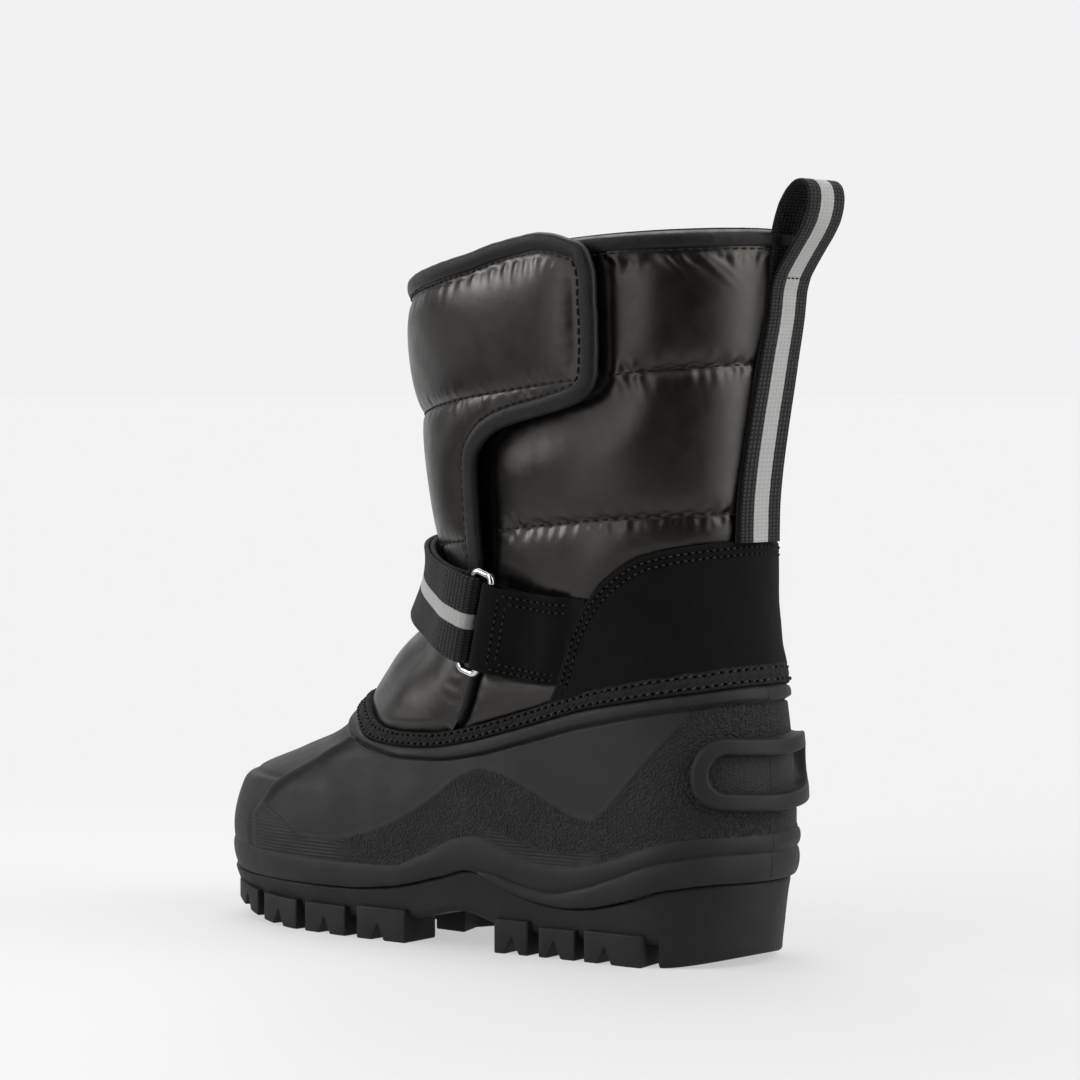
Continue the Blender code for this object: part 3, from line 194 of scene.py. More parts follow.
def read(rows, q, column=1):
    rows = np.array(rows, float)
    return flow(rows[:, 0], rows[:, column], q)


def ease(a, b, x):
    u = np.clip((np.asarray(x, float) - a) / (b - a), 0.0, 1.0)
    return u * u * (3 - 2 * u)


def fold(t):
    return 0.5 - np.abs(0.5 - np.asarray(t, float) % 1.0)


def unit(a):
    return a / np.maximum(np.linalg.norm(a, axis=-1, keepdims=True), 1e-12)


def ring_points(row, t):
    (_, z_back, z_side, z_front, y_back, y_front, round_back, round_front,
     half_heel, half_ball, toe_power, toe_swing) = row
    s = (1 - np.cos(np.linspace(0, math.pi, 1600))) / 2
    y = y_back + (y_front - y_back) * s
    half = half_heel + (half_ball - half_heel) * ease(0.12, 0.72, s)
    from_back = np.clip((y - y_back) / round_back, 0, 1)
    from_front = np.clip((y_front - y) / round_front, 0, 1)
    half = (half * np.sqrt(np.clip(1 - (1 - from_back) ** 2, 0, 1))
            * np.clip(1 - (1 - from_front) ** toe_power, 0, 1) ** (1 / toe_power))
    run = np.concatenate([[0], np.cumsum(np.hypot(np.diff(half), np.diff(y)))])
    run /= run[-1]
    t = np.asarray(t, float) % 1.0
    side = np.where(t <= 0.5, -1.0, 1.0)
    along = 2 * fold(t)
    a = np.interp(along, run, s)
    x = side * np.interp(along, run, half) + toe_swing * ease(0.35, 1.0, a)
    z = (z_back * (1 - a) * (1 - 2 * a) + z_side * 4 * a * (1 - a)
         + z_front * a * (2 * a - 1))
    return np.stack([x, np.interp(along, run, y), z], -1)


class Skin:
    """The boot's skin on a fine grid, read by t, v and an offset along the normal."""
    NT, NV = 1200, 445
    V0, V1 = -0.08, 1.03

    def __init__(self):
        rings = np.array(list(RINGS.values()), float)
        self.v = np.linspace(self.V0, self.V1, self.NV)
        rows = flow(rings[:, 0], rings, self.v)
        for _ in range(3):               # takes the edge off where two levels join
            rows[1:-1] = 0.25 * rows[:-2] + 0.5 * rows[1:-1] + 0.25 * rows[2:]
        t = np.arange(self.NT) / self.NT
        self.P = np.stack([ring_points(r, t) for r in rows])
        across = np.roll(self.P, -1, 1) - np.roll(self.P, 1, 1)
        up = np.gradient(self.P, axis=0)
        self.N = unit(np.cross(up, across))
        for _ in range(4):
            n = self.N
            n = np.roll(n, 1, 1) + 2 * n + np.roll(n, -1, 1)
            n[1:-1] = n[:-2] + 2 * n[1:-1] + n[2:]
            self.N = unit(n)
        step = np.linalg.norm(np.diff(self.P, axis=0), axis=-1)
        self.rise = np.concatenate([np.zeros((1, self.NT)), np.cumsum(step, 0)])

    def sample(self, field, t, v):
        t, v = np.broadcast_arrays(np.asarray(t, float), np.asarray(v, float))
        a = (t % 1.0) * self.NT
        b = np.clip((v - self.V0) / (self.V1 - self.V0), 0, 1) * (self.NV - 1)
        i = np.floor(a).astype(int) % self.NT
        j = np.clip(np.floor(b).astype(int), 0, self.NV - 2)
        u, w = a - np.floor(a), b - j
        if field.ndim == 3:
            u, w = u[..., None], w[..., None]
        k = (i + 1) % self.NT
        return ((field[j, i] * (1 - u) + field[j, k] * u) * (1 - w)
                + (field[j + 1, i] * (1 - u) + field[j + 1, k] * u) * w)

    def __call__(self, t, v, off=0.0):
        off = np.asarray(off, float)
        return self.sample(self.P, t, v) + self.normal(t, v) * off[..., None]

    def normal(self, t, v):
        return unit(self.sample(self.N, t, v))

    def climb(self, t, v, mm):
        """v after going mm up the skin from (t, v)."""
        t, v, mm = np.broadcast_arrays(np.asarray(t, float), np.asarray(v, float),
                                       np.asarray(mm, float))
        goal = self.sample(self.rise, t, v) + mm
        out = np.empty(t.shape)
        for k in np.ndindex(t.shape):
            column = self.sample(self.rise, np.full(self.NV, t[k]), self.v)
            out[k] = np.interp(goal[k], column, self.v)
        return out

    def v_at_height(self, t, height):
        """v where the skin is at the height, a function of y."""
        t = np.asarray(t, float)
        out = np.empty(t.shape)
        for k in np.ndindex(t.shape):
            column = self.sample(self.P, np.full(self.NV, t[k]), self.v)
            gap = column[:, 2] - height(column[:, 1])
            j = max(int(np.argmax(gap > 0)), 1)
            u = -gap[j - 1] / (gap[j] - gap[j - 1])
            out[k] = self.v[j - 1] + (self.v[j] - self.v[j - 1]) * np.clip(u, 0, 1)
        return out


skin = Skin()


def topline(t):
    return read(TOPLINE, fold(t))


def counter_top(t):
    return read(COUNTER_TOP, fold(t))


def flap_edge(v):
    return read(FLAP_EDGE_LINE, v)


def web_middle(v):
    """x of the pull web's middle line; it leans a little to the inner side as it climbs."""
    return read(((0.55, -0.3), (0.60, 0.1), (0.745, 1.5), (0.81, 2.7), (0.885, 4.6), (1.05, 5.0)), v)


def wave(y):
    return read(WAVE, y)


def slab_floor(y):
    return read(SLAB, y, 1)


def slab_under(y):
    return read(SLAB, y, 2)


def tread(y):
    y = np.asarray(y, float)
    toe = 0.0045 * np.clip(y - 146.0, 0, 44) ** 2
    heel = 4.0 * (np.clip(HEEL_BLOCK_TO - y, 0, 21) / 20.5) ** 1.4
    return toe + heel


def noise2(shape, cells, seed, closed=False):
    """Smooth seeded noise on a grid, about -1 to 1; cells are the lumps down and across."""
    rng = np.random.default_rng(seed)
    a, b = cells
    coarse = rng.uniform(-1, 1, (a + 3, b + 3))
    if closed:
        coarse[:, b:] = coarse[:, :3]
    r = np.linspace(0, a, shape[0])
    c = np.linspace(0, b, shape[1], endpoint=not closed)
    i, j = np.floor(r).astype(int), np.floor(c).astype(int)
    i = np.minimum(i, a)
    u, w = (r - i)[:, None], (c - j)[None, :]
    u, w = u * u * (3 - 2 * u), w * w * (3 - 2 * w)
    f = coarse[np.ix_(i, j)] * (1 - u) + coarse[np.ix_(i + 1, j)] * u
    g = coarse[np.ix_(i, j + 1)] * (1 - u) + coarse[np.ix_(i + 1, j + 1)] * u
    return f * (1 - w) + g * w


# --------------------------------------------------------------- mesh builders
def quads_of(rows, cols, closed=False, flip=False):
    c = np.arange(cols if closed else cols - 1)
    r = np.arange(rows - 1)
    r, c = np.meshgrid(r, c, indexing="ij")
    d = (c + 1) % cols
    a, b = r * cols + c, r * cols + d
    e, f = (r + 1) * cols + c, (r + 1) * cols + d
    q = np.stack([a, b, f, e] if flip else [a, e, f, b], -1)
    return q.reshape(-1, 4)


PIECES = {}


def build(name, verts, quads, material, attrs=None, body_slot=None, stands_for=(), sharp=None):
    """One piece from points in mm and quads; attrs are values per vertex."""
    verts = (np.asarray(verts, float).reshape(-1, 3) - SHIFT) * MM
    mesh = bpy.data.meshes.new(name)
    mesh.vertices.add(len(verts))
    mesh.vertices.foreach_set("co", verts.astype(np.float32).ravel())
    quads = np.asarray(quads, np.int32)
    mesh.loops.add(quads.size)
    mesh.loops.foreach_set("vertex_index", quads.ravel())
    mesh.polygons.add(len(quads))
    mesh.polygons.foreach_set("loop_start", np.arange(0, quads.size, quads.shape[1], dtype=np.int32))
    mesh.update(calc_edges=True)
    mesh.validate()
    for key, value in (attrs or {}).items():
        value = np.asarray(value, np.float32)
        if value.ndim >= 2 and value.shape[-1] == 3:
            mesh.attributes.new(key, "FLOAT_VECTOR", "POINT").data.foreach_set("vector", value.ravel())
        else:
            mesh.attributes.new(key, "FLOAT", "POINT").data.foreach_set("value", value.ravel())
    mesh.shade_smooth()
    if sharp is not None:
        mesh.set_sharp_from_angle(angle=math.radians(sharp))
    mesh.materials.append(material)
    obj = bpy.data.objects.new(name, mesh)
    bpy.context.scene.collection.objects.link(obj)
    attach(obj, "root")
    if stands_for:
        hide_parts(*stands_for)
    PIECES[name] = obj
    return obj


def grid_piece(name, points, material, closed=False, flip=False, attrs=None, **more):
    rows, cols = points.shape[:2]
    return build(name, points, quads_of(rows, cols, closed, flip), material, attrs, **more)


def resample(line, step, closed=False):
    line = np.asarray(line, float)
    if closed:
        line = np.concatenate([line, line[:1]])
    run = np.concatenate([[0], np.cumsum(np.linalg.norm(np.diff(line, axis=0), axis=-1))])
    count = max(int(round(run[-1] / step)), 2)
    q = np.linspace(0, run[-1], count, endpoint=not closed) if closed else np.linspace(0, run[-1], count)
    return np.stack([np.interp(q, run, line[:, k]) for k in range(line.shape[1])], -1), q


def smooth_line(line, times, closed=False):
    line = np.array(line, float)
    for _ in range(times):
        if closed:
            line = 0.25 * np.roll(line, 1, 0) + 0.5 * line + 0.25 * np.roll(line, -1, 0)
        else:
            line[1:-1] = 0.25 * line[:-2] + 0.5 * line[1:-1] + 0.25 * line[2:]
    return line


class Threads:
    """Many small stitches joined in one mesh."""
    SIDES, RINGS = 6, 6

    def __init__(self):
        self.verts, self.quads, self.count = [], [], 0

    def row(self, line, normals, pitch, length, radius, lift=0.12, sink=0.3, slant=0.0, shift=0.0):
        """Stitches along a line of points; each is a short bow whose ends go into the cloth."""
        line, normals = np.asarray(line, float), np.asarray(normals, float)
        run = np.concatenate([[0], np.cumsum(np.linalg.norm(np.diff(line, axis=0), axis=-1))])
        number = int(run[-1] // pitch)
        start = (run[-1] - number * pitch) / 2 + (pitch - length) / 2 + shift
        number -= int(shift > 0)
        if number < 1:
            return

        def at(q):
            p = np.stack([np.interp(q, run, line[:, k]) for k in range(3)], -1)
            n = unit(np.stack([np.interp(q, run, normals[:, k]) for k in range(3)], -1))
            return p, n

        s = np.linspace(0, 1, self.RINGS)
        bow = np.sqrt(np.clip(1 - (2 * s - 1) ** 2, 0, 1))
        fat = 0.55 + 0.45 * bow
        ang = np.arange(self.SIDES) * 2 * math.pi / self.SIDES
        q = start + np.arange(number)[:, None] * pitch + s[None, :] * length
        p, n = at(q)
        ahead = unit(p[:, -1:] - p[:, :1])
        side = unit(np.cross(n, ahead + 0 * n))
        p = p + n * (lift + sink) * bow[None, :, None] - n * sink
        p = p + side * (slant * (s[None, :, None] - 0.5))
        ring = (p[:, :, None, :] + side[:, :, None, :] * (radius * fat[None, :, None, None] * np.cos(ang)[None, None, :, None])
                + n[:, :, None, :] * (radius * fat[None, :, None, None] * np.sin(ang)[None, None, :, None]))
        base = self.count
        self.verts.append(ring.reshape(-1, 3))
        k = np.arange(number)[:, None, None] * self.RINGS * self.SIDES
        r = np.arange(self.RINGS - 1)[None, :, None] * self.SIDES
        c = np.arange(self.SIDES)[None, None, :]
        d = (c + 1) % self.SIDES
        quads = np.stack([k + r + c, k + r + d, k + r + self.SIDES + d, k + r + self.SIDES + c], -1)
        self.quads.append(base + quads.reshape(-1, 4))
        self.count += number * self.RINGS * self.SIDES

    def make(self, name, material, body_slot=None):
        return build(name, np.concatenate(self.verts), np.concatenate(self.quads), material,
                     body_slot=body_slot)


# ------------------------------------------------------------------- materials
class Mat:
    """A Principled material with small helpers for its node tree."""

    def __init__(self, name, colour, rough, **fixed):
        self.mat = bpy.data.materials.new(name)
        self.mat.use_nodes = True
        self.tree = self.mat.node_tree
        self.bsdf = self.tree.nodes["Principled BSDF"]
        self.set("Base Color", (*colour, 1.0))
        self.set("Roughness", rough)
        for key, value in fixed.items():
            self.set(key.replace("_", " "), value)
        self.height = None
        coords = self.tree.nodes.new("ShaderNodeTexCoord")
        self.place = coords.outputs["Object"]

    def set(self, key, value):
        self.bsdf.inputs[key].default_value = value

    def node(self, kind, **props):
        n = self.tree.nodes.new(kind)
        for key, value in props.items():
            setattr(n, key, value)
        return n

    def link(self, a, b):
        self.tree.links.new(a, b)

    def put(self, socket, value):
        if isinstance(value, (int, float)):
            socket.default_value = value
        elif isinstance(value, tuple):
            socket.default_value = value
        else:
            self.link(value, socket)

    def math(self, op, a, b=0.0, c=0.0, clamp=False):
        n = self.node("ShaderNodeMath", operation=op, use_clamp=clamp)
        for k, value in enumerate((a, b, c)):
            self.put(n.inputs[k], value)
        return n.outputs[0]

    def attr(self, name, vector=False):
        n = self.node("ShaderNodeAttribute", attribute_name=name)
        return n.outputs["Vector" if vector else "Fac"]

    def parts(self, vector):
        n = self.node("ShaderNodeSeparateXYZ")
        self.link(vector, n.inputs[0])
        return n.outputs

    def noise(self, scale, detail=3.0, rough=0.55, vector=None, lift=None):
        n = self.node("ShaderNodeTexNoise")
        n.inputs["Scale"].default_value = scale
        n.inputs["Detail"].default_value = detail
        n.inputs["Roughness"].default_value = rough
        self.link(vector or self.place, n.inputs["Vector"])
        return n.outputs["Fac"]

    def cells(self, scale, feature="F1", vector=None, smooth=None):
        n = self.node("ShaderNodeTexVoronoi", feature=feature)
        n.inputs["Scale"].default_value = scale
        if smooth is not None:
            n.inputs["Smoothness"].default_value = smooth
        self.link(vector or self.place, n.inputs["Vector"])
        return n.outputs["Distance"]

    def ramp(self, value, low, high, a=0.0, b=1.0, smooth=True):
        n = self.node("ShaderNodeMapRange", interpolation_type="SMOOTHSTEP" if smooth else "LINEAR")
        self.put(n.inputs["Value"], value)
        n.inputs["From Min"].default_value = low
        n.inputs["From Max"].default_value = high
        self.put(n.inputs["To Min"], a)
        self.put(n.inputs["To Max"], b)
        return n.outputs["Result"]

    def mix(self, fac, a, b):
        n = self.node("ShaderNodeMix", data_type="RGBA")
        self.put(n.inputs[0], fac)
        for socket, value in ((n.inputs[6], a), (n.inputs[7], b)):
            if isinstance(value, tuple):
                socket.default_value = (*value, 1.0) if len(value) == 3 else value
            else:
                self.link(value, socket)
        return n.outputs[2]

    def colour(self, socket):
        self.link(socket, self.bsdf.inputs["Base Color"])

    def rough(self, socket):
        self.link(socket, self.bsdf.inputs["Roughness"])

    def bump(self, height, depth_mm, strength=1.0):
        """Adds relief: height 0 to 1 stands for depth_mm."""
        n = self.node("ShaderNodeBump")
        n.inputs["Strength"].default_value = strength
        n.inputs["Distance"].default_value = depth_mm * MM
        self.link(height, n.inputs["Height"])
        if self.height is not None:
            self.link(self.height, n.inputs["Normal"])
        self.height = n.outputs["Normal"]
        self.link(self.height, self.bsdf.inputs["Normal"])


def wave_of(m, value, pitch_mm, phase=0.0):
    """0 to 1 sine of a length in mm."""
    return m.math("MULTIPLY_ADD", m.math("SINE", m.math("MULTIPLY_ADD", value, 2 * math.pi / pitch_mm, phase)),
                  0.5, 0.5)


def rubber(name, tone, rough):
    m = Mat(name, (tone, tone, tone * 1.01), rough, Specular_IOR_Level=0.20)
    pebble, rib = m.attr("pebble"), m.attr("rib")
    x, y, z = m.parts(m.place)
    grain = m.noise(5200, 3)
    m.bump(grain, 0.035)
    broad = m.noise(160, 4)
    m.bump(broad, 0.10)
    lumps = m.cells(1350, "SMOOTH_F1", smooth=0.25)
    lumps = m.ramp(lumps, 0.05, 0.72, 1.0, 0.0)
    fine = m.math("MULTIPLY", m.noise(2600, 2), 0.35)
    field = m.math("MULTIPLY", m.math("ADD", lumps, fine), pebble)
    m.bump(field, 0.42)
    lines = wave_of(m, m.math("MULTIPLY", z, 1000.0), 1.0)
    m.bump(m.math("MULTIPLY", m.math("POWER", lines, 1.6), rib), 0.17)
    patch = m.noise(42, 5, 0.6)
    dust = m.ramp(m.noise(700, 4, 0.7), 0.56, 0.78)
    tint = m.mix(m.ramp(patch, 0.3, 0.7), (tone * 0.90, tone * 0.90, tone * 0.91),
                 (tone * 1.12, tone * 1.12, tone * 1.13))
    tint = m.mix(m.math("MULTIPLY", dust, 0.12), tint, (tone * 2.4, tone * 2.4, tone * 2.4))
    tint = m.mix(m.math("MULTIPLY", pebble, 0.28), tint, (tone * 0.62, tone * 0.62, tone * 0.63))
    m.colour(tint)
    worn = m.ramp(m.noise(95, 5, 0.65), 0.25, 0.75, rough - 0.07, rough + 0.07)
    m.rough(m.math("ADD", worn, m.math("MULTIPLY", pebble, 0.05)))
    return m.mat


def nylon(name, tone):
    """Tight plain-weave nylon with a satin shine; st holds mm along and up."""
    m = Mat(name, (tone, tone * 0.965, tone * 0.93), 0.36, Specular_IOR_Level=0.46,
            Specular_Tint=(1.0, 0.94, 0.88, 1.0))
    x, y, z = m.parts(m.attr("st", True))
    warp, weft = wave_of(m, x, 0.34), wave_of(m, y, 0.34)
    m.bump(m.math("MULTIPLY", warp, weft), 0.005)
    m.bump(m.noise(900, 3, 0.6), 0.010)
    m.bump(m.noise(260, 3, 0.55), 0.045)
    patch = m.noise(75, 4, 0.6)
    m.colour(m.mix(m.ramp(patch, 0.3, 0.7), (tone * 0.86, tone * 0.82, tone * 0.78),
                   (tone * 1.15, tone * 1.11, tone * 1.07)))
    m.rough(m.ramp(m.noise(150, 4, 0.6), 0.3, 0.7, 0.31, 0.40))
    return m.mat


def satin(name, tone):
    """Binding tape: smooth satin with a fine cross rib."""
    m = Mat(name, (tone, tone * 0.985, tone * 0.97), 0.46, Specular_IOR_Level=0.22, Sheen_Weight=0.02)
    x, y, z = m.parts(m.attr("st", True))
    m.bump(wave_of(m, x, 0.42), 0.03)
    m.bump(m.noise(700, 3, 0.6), 0.06)
    m.bump(m.noise(190, 3, 0.5), 0.14)
    m.colour(m.mix(m.ramp(m.noise(120, 4), 0.3, 0.7), (tone * 0.8, tone * 0.79, tone * 0.78),
                   (tone * 1.25, tone * 1.23, tone * 1.2)))
    m.rough(m.ramp(m.noise(240, 3), 0.3, 0.7, 0.40, 0.54))
    return m.mat


def nubuck(name, tone):
    m = Mat(name, (tone, tone * 0.985, tone * 0.965), 0.92, Specular_IOR_Level=0.08,
            Sheen_Weight=0.02, Sheen_Roughness=0.6)
    m.bump(m.noise(3600, 4, 0.7), 0.07)
    m.bump(m.cells(1500), 0.05)
    m.bump(m.noise(220, 4, 0.6), 0.12)
    nap = m.noise(60, 5, 0.65)
    speck = m.ramp(m.noise(5200, 2, 0.6), 0.60, 0.75)
    tint = m.mix(m.ramp(nap, 0.3, 0.7), (tone * 0.78, tone * 0.76, tone * 0.74),
                 (tone * 1.25, tone * 1.23, tone * 1.2))
    m.colour(m.mix(m.math("MULTIPLY", speck, 0.35), tint, (tone * 2.6, tone * 2.5, tone * 2.4)))
    return m.mat


def tape(name, tone):
    """Coarse ribbed edge tape."""
    m = Mat(name, (tone, tone, tone), 0.88, Specular_IOR_Level=0.14)
    x, y, z = m.parts(m.attr("st", True))
    ribs = wave_of(m, m.math("ADD", x, m.math("MULTIPLY", y, 0.45)), 0.95)
    m.bump(ribs, 0.07)
    m.bump(m.noise(2400, 4, 0.7), 0.10)
    grit = m.ramp(m.noise(1900, 3, 0.7), 0.42, 0.72)
    m.colour(m.mix(grit, (tone * 0.78, tone * 0.78, tone * 0.78), (tone * 1.5, tone * 1.49, tone * 1.47)))
    return m.mat


def webbing(name, tone, stripe_from, stripe_to, rib_mm, pick_mm, fuzz_attr=False, one_face=False):
    """Woven strap: ribs along it, picks across, a bright stripe between two widths."""
    m = Mat(name, (tone, tone, tone), 0.8, Specular_IOR_Level=0.25, Sheen_Weight=0.03)
    x, y, z = m.parts(m.attr("st", True))
    rib, pick = wave_of(m, y, rib_mm), wave_of(m, x, pick_mm)
    knit = m.math("MULTIPLY", m.math("POWER", rib, 0.6), m.math("POWER", pick, 0.6))
    fray = m.math("MULTIPLY", m.math("SUBTRACT", m.noise(1500, 3, 0.7), 0.5), 0.5)
    at = m.math("ADD", y, fray)
    stripe = m.math("MULTIPLY", m.ramp(at, stripe_from - 0.18, stripe_from + 0.18),
                    m.ramp(at, stripe_to - 0.18, stripe_to + 0.18, 1.0, 0.0))
    if one_face:
        stripe = m.math("MULTIPLY", stripe, m.ramp(z, -0.3, 0.3, 1.0, 0.0))
    fuzz = m.attr("fuzz") if fuzz_attr else 0.0
    weave = knit
    if fuzz_attr:
        pile = m.noise(2700, 4, 0.75)
        weave = m.math("ADD", m.math("MULTIPLY", knit, m.math("SUBTRACT", 1.0, fuzz)),
                       m.math("MULTIPLY", pile, fuzz))
    smooth = m.math("MULTIPLY_ADD", stripe, -0.85, 1.0)
    m.bump(m.math("MULTIPLY", weave, smooth), 0.48)
    m.bump(m.noise(3800, 3, 0.7), 0.10)
    # painted shade: the dark webbing is coloured much darker in the weave's hollows and lighter on its crests, and the
    # stripe below is a little darker in its hollows too
    dark = m.mix(m.ramp(weave, 0.18, 0.72), (tone * 0.22, tone * 0.22, tone * 0.22),
                 (tone * 1.7, tone * 1.68, tone * 1.65))
    speck = m.ramp(m.noise(2100, 3, 0.75), 0.52, 0.74)
    dark = m.mix(m.math("MULTIPLY", speck, 0.35), dark, (tone * 4.0, tone * 3.9, tone * 3.8))
    bright = m.mix(m.ramp(weave, 0.05, 0.7), (0.275, 0.272, 0.266), (0.320, 0.317, 0.311))
    soiled = m.ramp(m.noise(900, 4, 0.7), 0.62, 0.85)
    bright = m.mix(m.math("MULTIPLY", soiled, 0.22), bright, (0.16, 0.157, 0.153))
    m.colour(m.mix(stripe, dark, bright))
    m.rough(m.ramp(stripe, 0.0, 1.0, 0.82, 0.5))
    return m.mat


def fleece(name, tone):
    m = Mat(name, (tone, tone, tone), 1.0, Specular_IOR_Level=0.15, Sheen_Weight=0.3)
    m.bump(m.noise(900, 5, 0.7), 0.8)
    m.bump(m.cells(620), 0.5)
    m.colour(m.mix(m.ramp(m.noise(500, 4, 0.7), 0.3, 0.7), (tone * 0.5, tone * 0.5, tone * 0.5),
                   (tone * 1.6, tone * 1.58, tone * 1.55)))
    return m.mat


def thread(name, tone):
    m = Mat(name, (tone, tone * 0.99, tone * 0.97), 0.70, Specular_IOR_Level=0.2)
    x, y, z = m.parts(m.place)
    m.bump(m.noise(4200, 2), 0.05)
    m.colour(m.mix(m.ramp(m.noise(800, 2), 0.3, 0.7), (tone * 0.65, tone * 0.64, tone * 0.62),
                   (tone * 1.3, tone * 1.28, tone * 1.25)))
    return m.mat


def hole(name, tone):
    """Needle holes and the shade in them."""
    m = Mat(name, (tone, tone, tone), 0.95, Specular_IOR_Level=0.0)
    m.bump(m.noise(3000, 2), 0.05)
    m.colour(m.mix(m.noise(900, 2), (tone * 0.6,) * 3, (tone * 1.4,) * 3))
    return m.mat


def chrome(name):
    m = Mat(name, (0.62, 0.62, 0.63), 0.16, Metallic=1.0)
    m.rough(m.ramp(m.noise(700, 4, 0.6), 0.35, 0.75, 0.10, 0.26))
    m.bump(m.noise(1600, 3), 0.01)
    m.colour(m.mix(m.ramp(m.noise(380, 4), 0.45, 0.75), (0.66, 0.66, 0.67), (0.46, 0.45, 0.44)))
    return m.mat


SHELL_RUBBER = rubber("shell_rubber", 0.0124, 0.60)
SOLE_RUBBER = rubber("tread_rubber", 0.0092, 0.62)
NYLON = nylon("quilted_nylon", 0.0017)
SATIN = satin("satin_binding", 0.0045)
TAPE = tape("edge_tape", 0.0135)
NUBUCK = nubuck("nubuck", 0.0032)
STRAP_WEB = webbing("strap_webbing", 0.0105, -2.3, 2.0, 0.85, 1.5, True)
PULL_WEB = webbing("pull_webbing", 0.0125, -4.0, 2.4, 1.7, 0.92, one_face=True)
FLEECE = fleece("lining_fleece", 0.020)
FELT = fleece("footbed_felt", 0.028)
HOOK = fleece("hook_pile", 0.006)
DARK_THREAD = thread("dark_thread", 0.012)
TAPE_THREAD = thread("tape_thread", 0.024)
GREY_THREAD = thread("grey_thread", 0.016)
HOLE_DARK = hole("stitch_holes", 0.0022)
CHROME = chrome("ring_chrome")

# ---------------------------------------------------------------- rubber shell
COLS = 600
T = np.arange(COLS) / COLS
ROWS = 152
v_low = skin.v_at_height(T, lambda y: wave(y) + FIT)
v_top = topline(T)
v_shell = v_low + (v_top - v_low) * np.linspace(0, 1, ROWS)[:, None]
t_shell = np.broadcast_to(T, v_shell.shape)
p_shell = skin(t_shell, v_shell)
y_s, z_s, f_s = p_shell[..., 1], p_shell[..., 2], fold(t_shell)
rise_mm = skin.sample(skin.rise, t_shell, v_shell)


round_mm = float(np.sum(np.linalg.norm(np.diff(skin(np.linspace(0, 1, 800), np.full(800, LEDGE_V)), axis=0), axis=-1)))


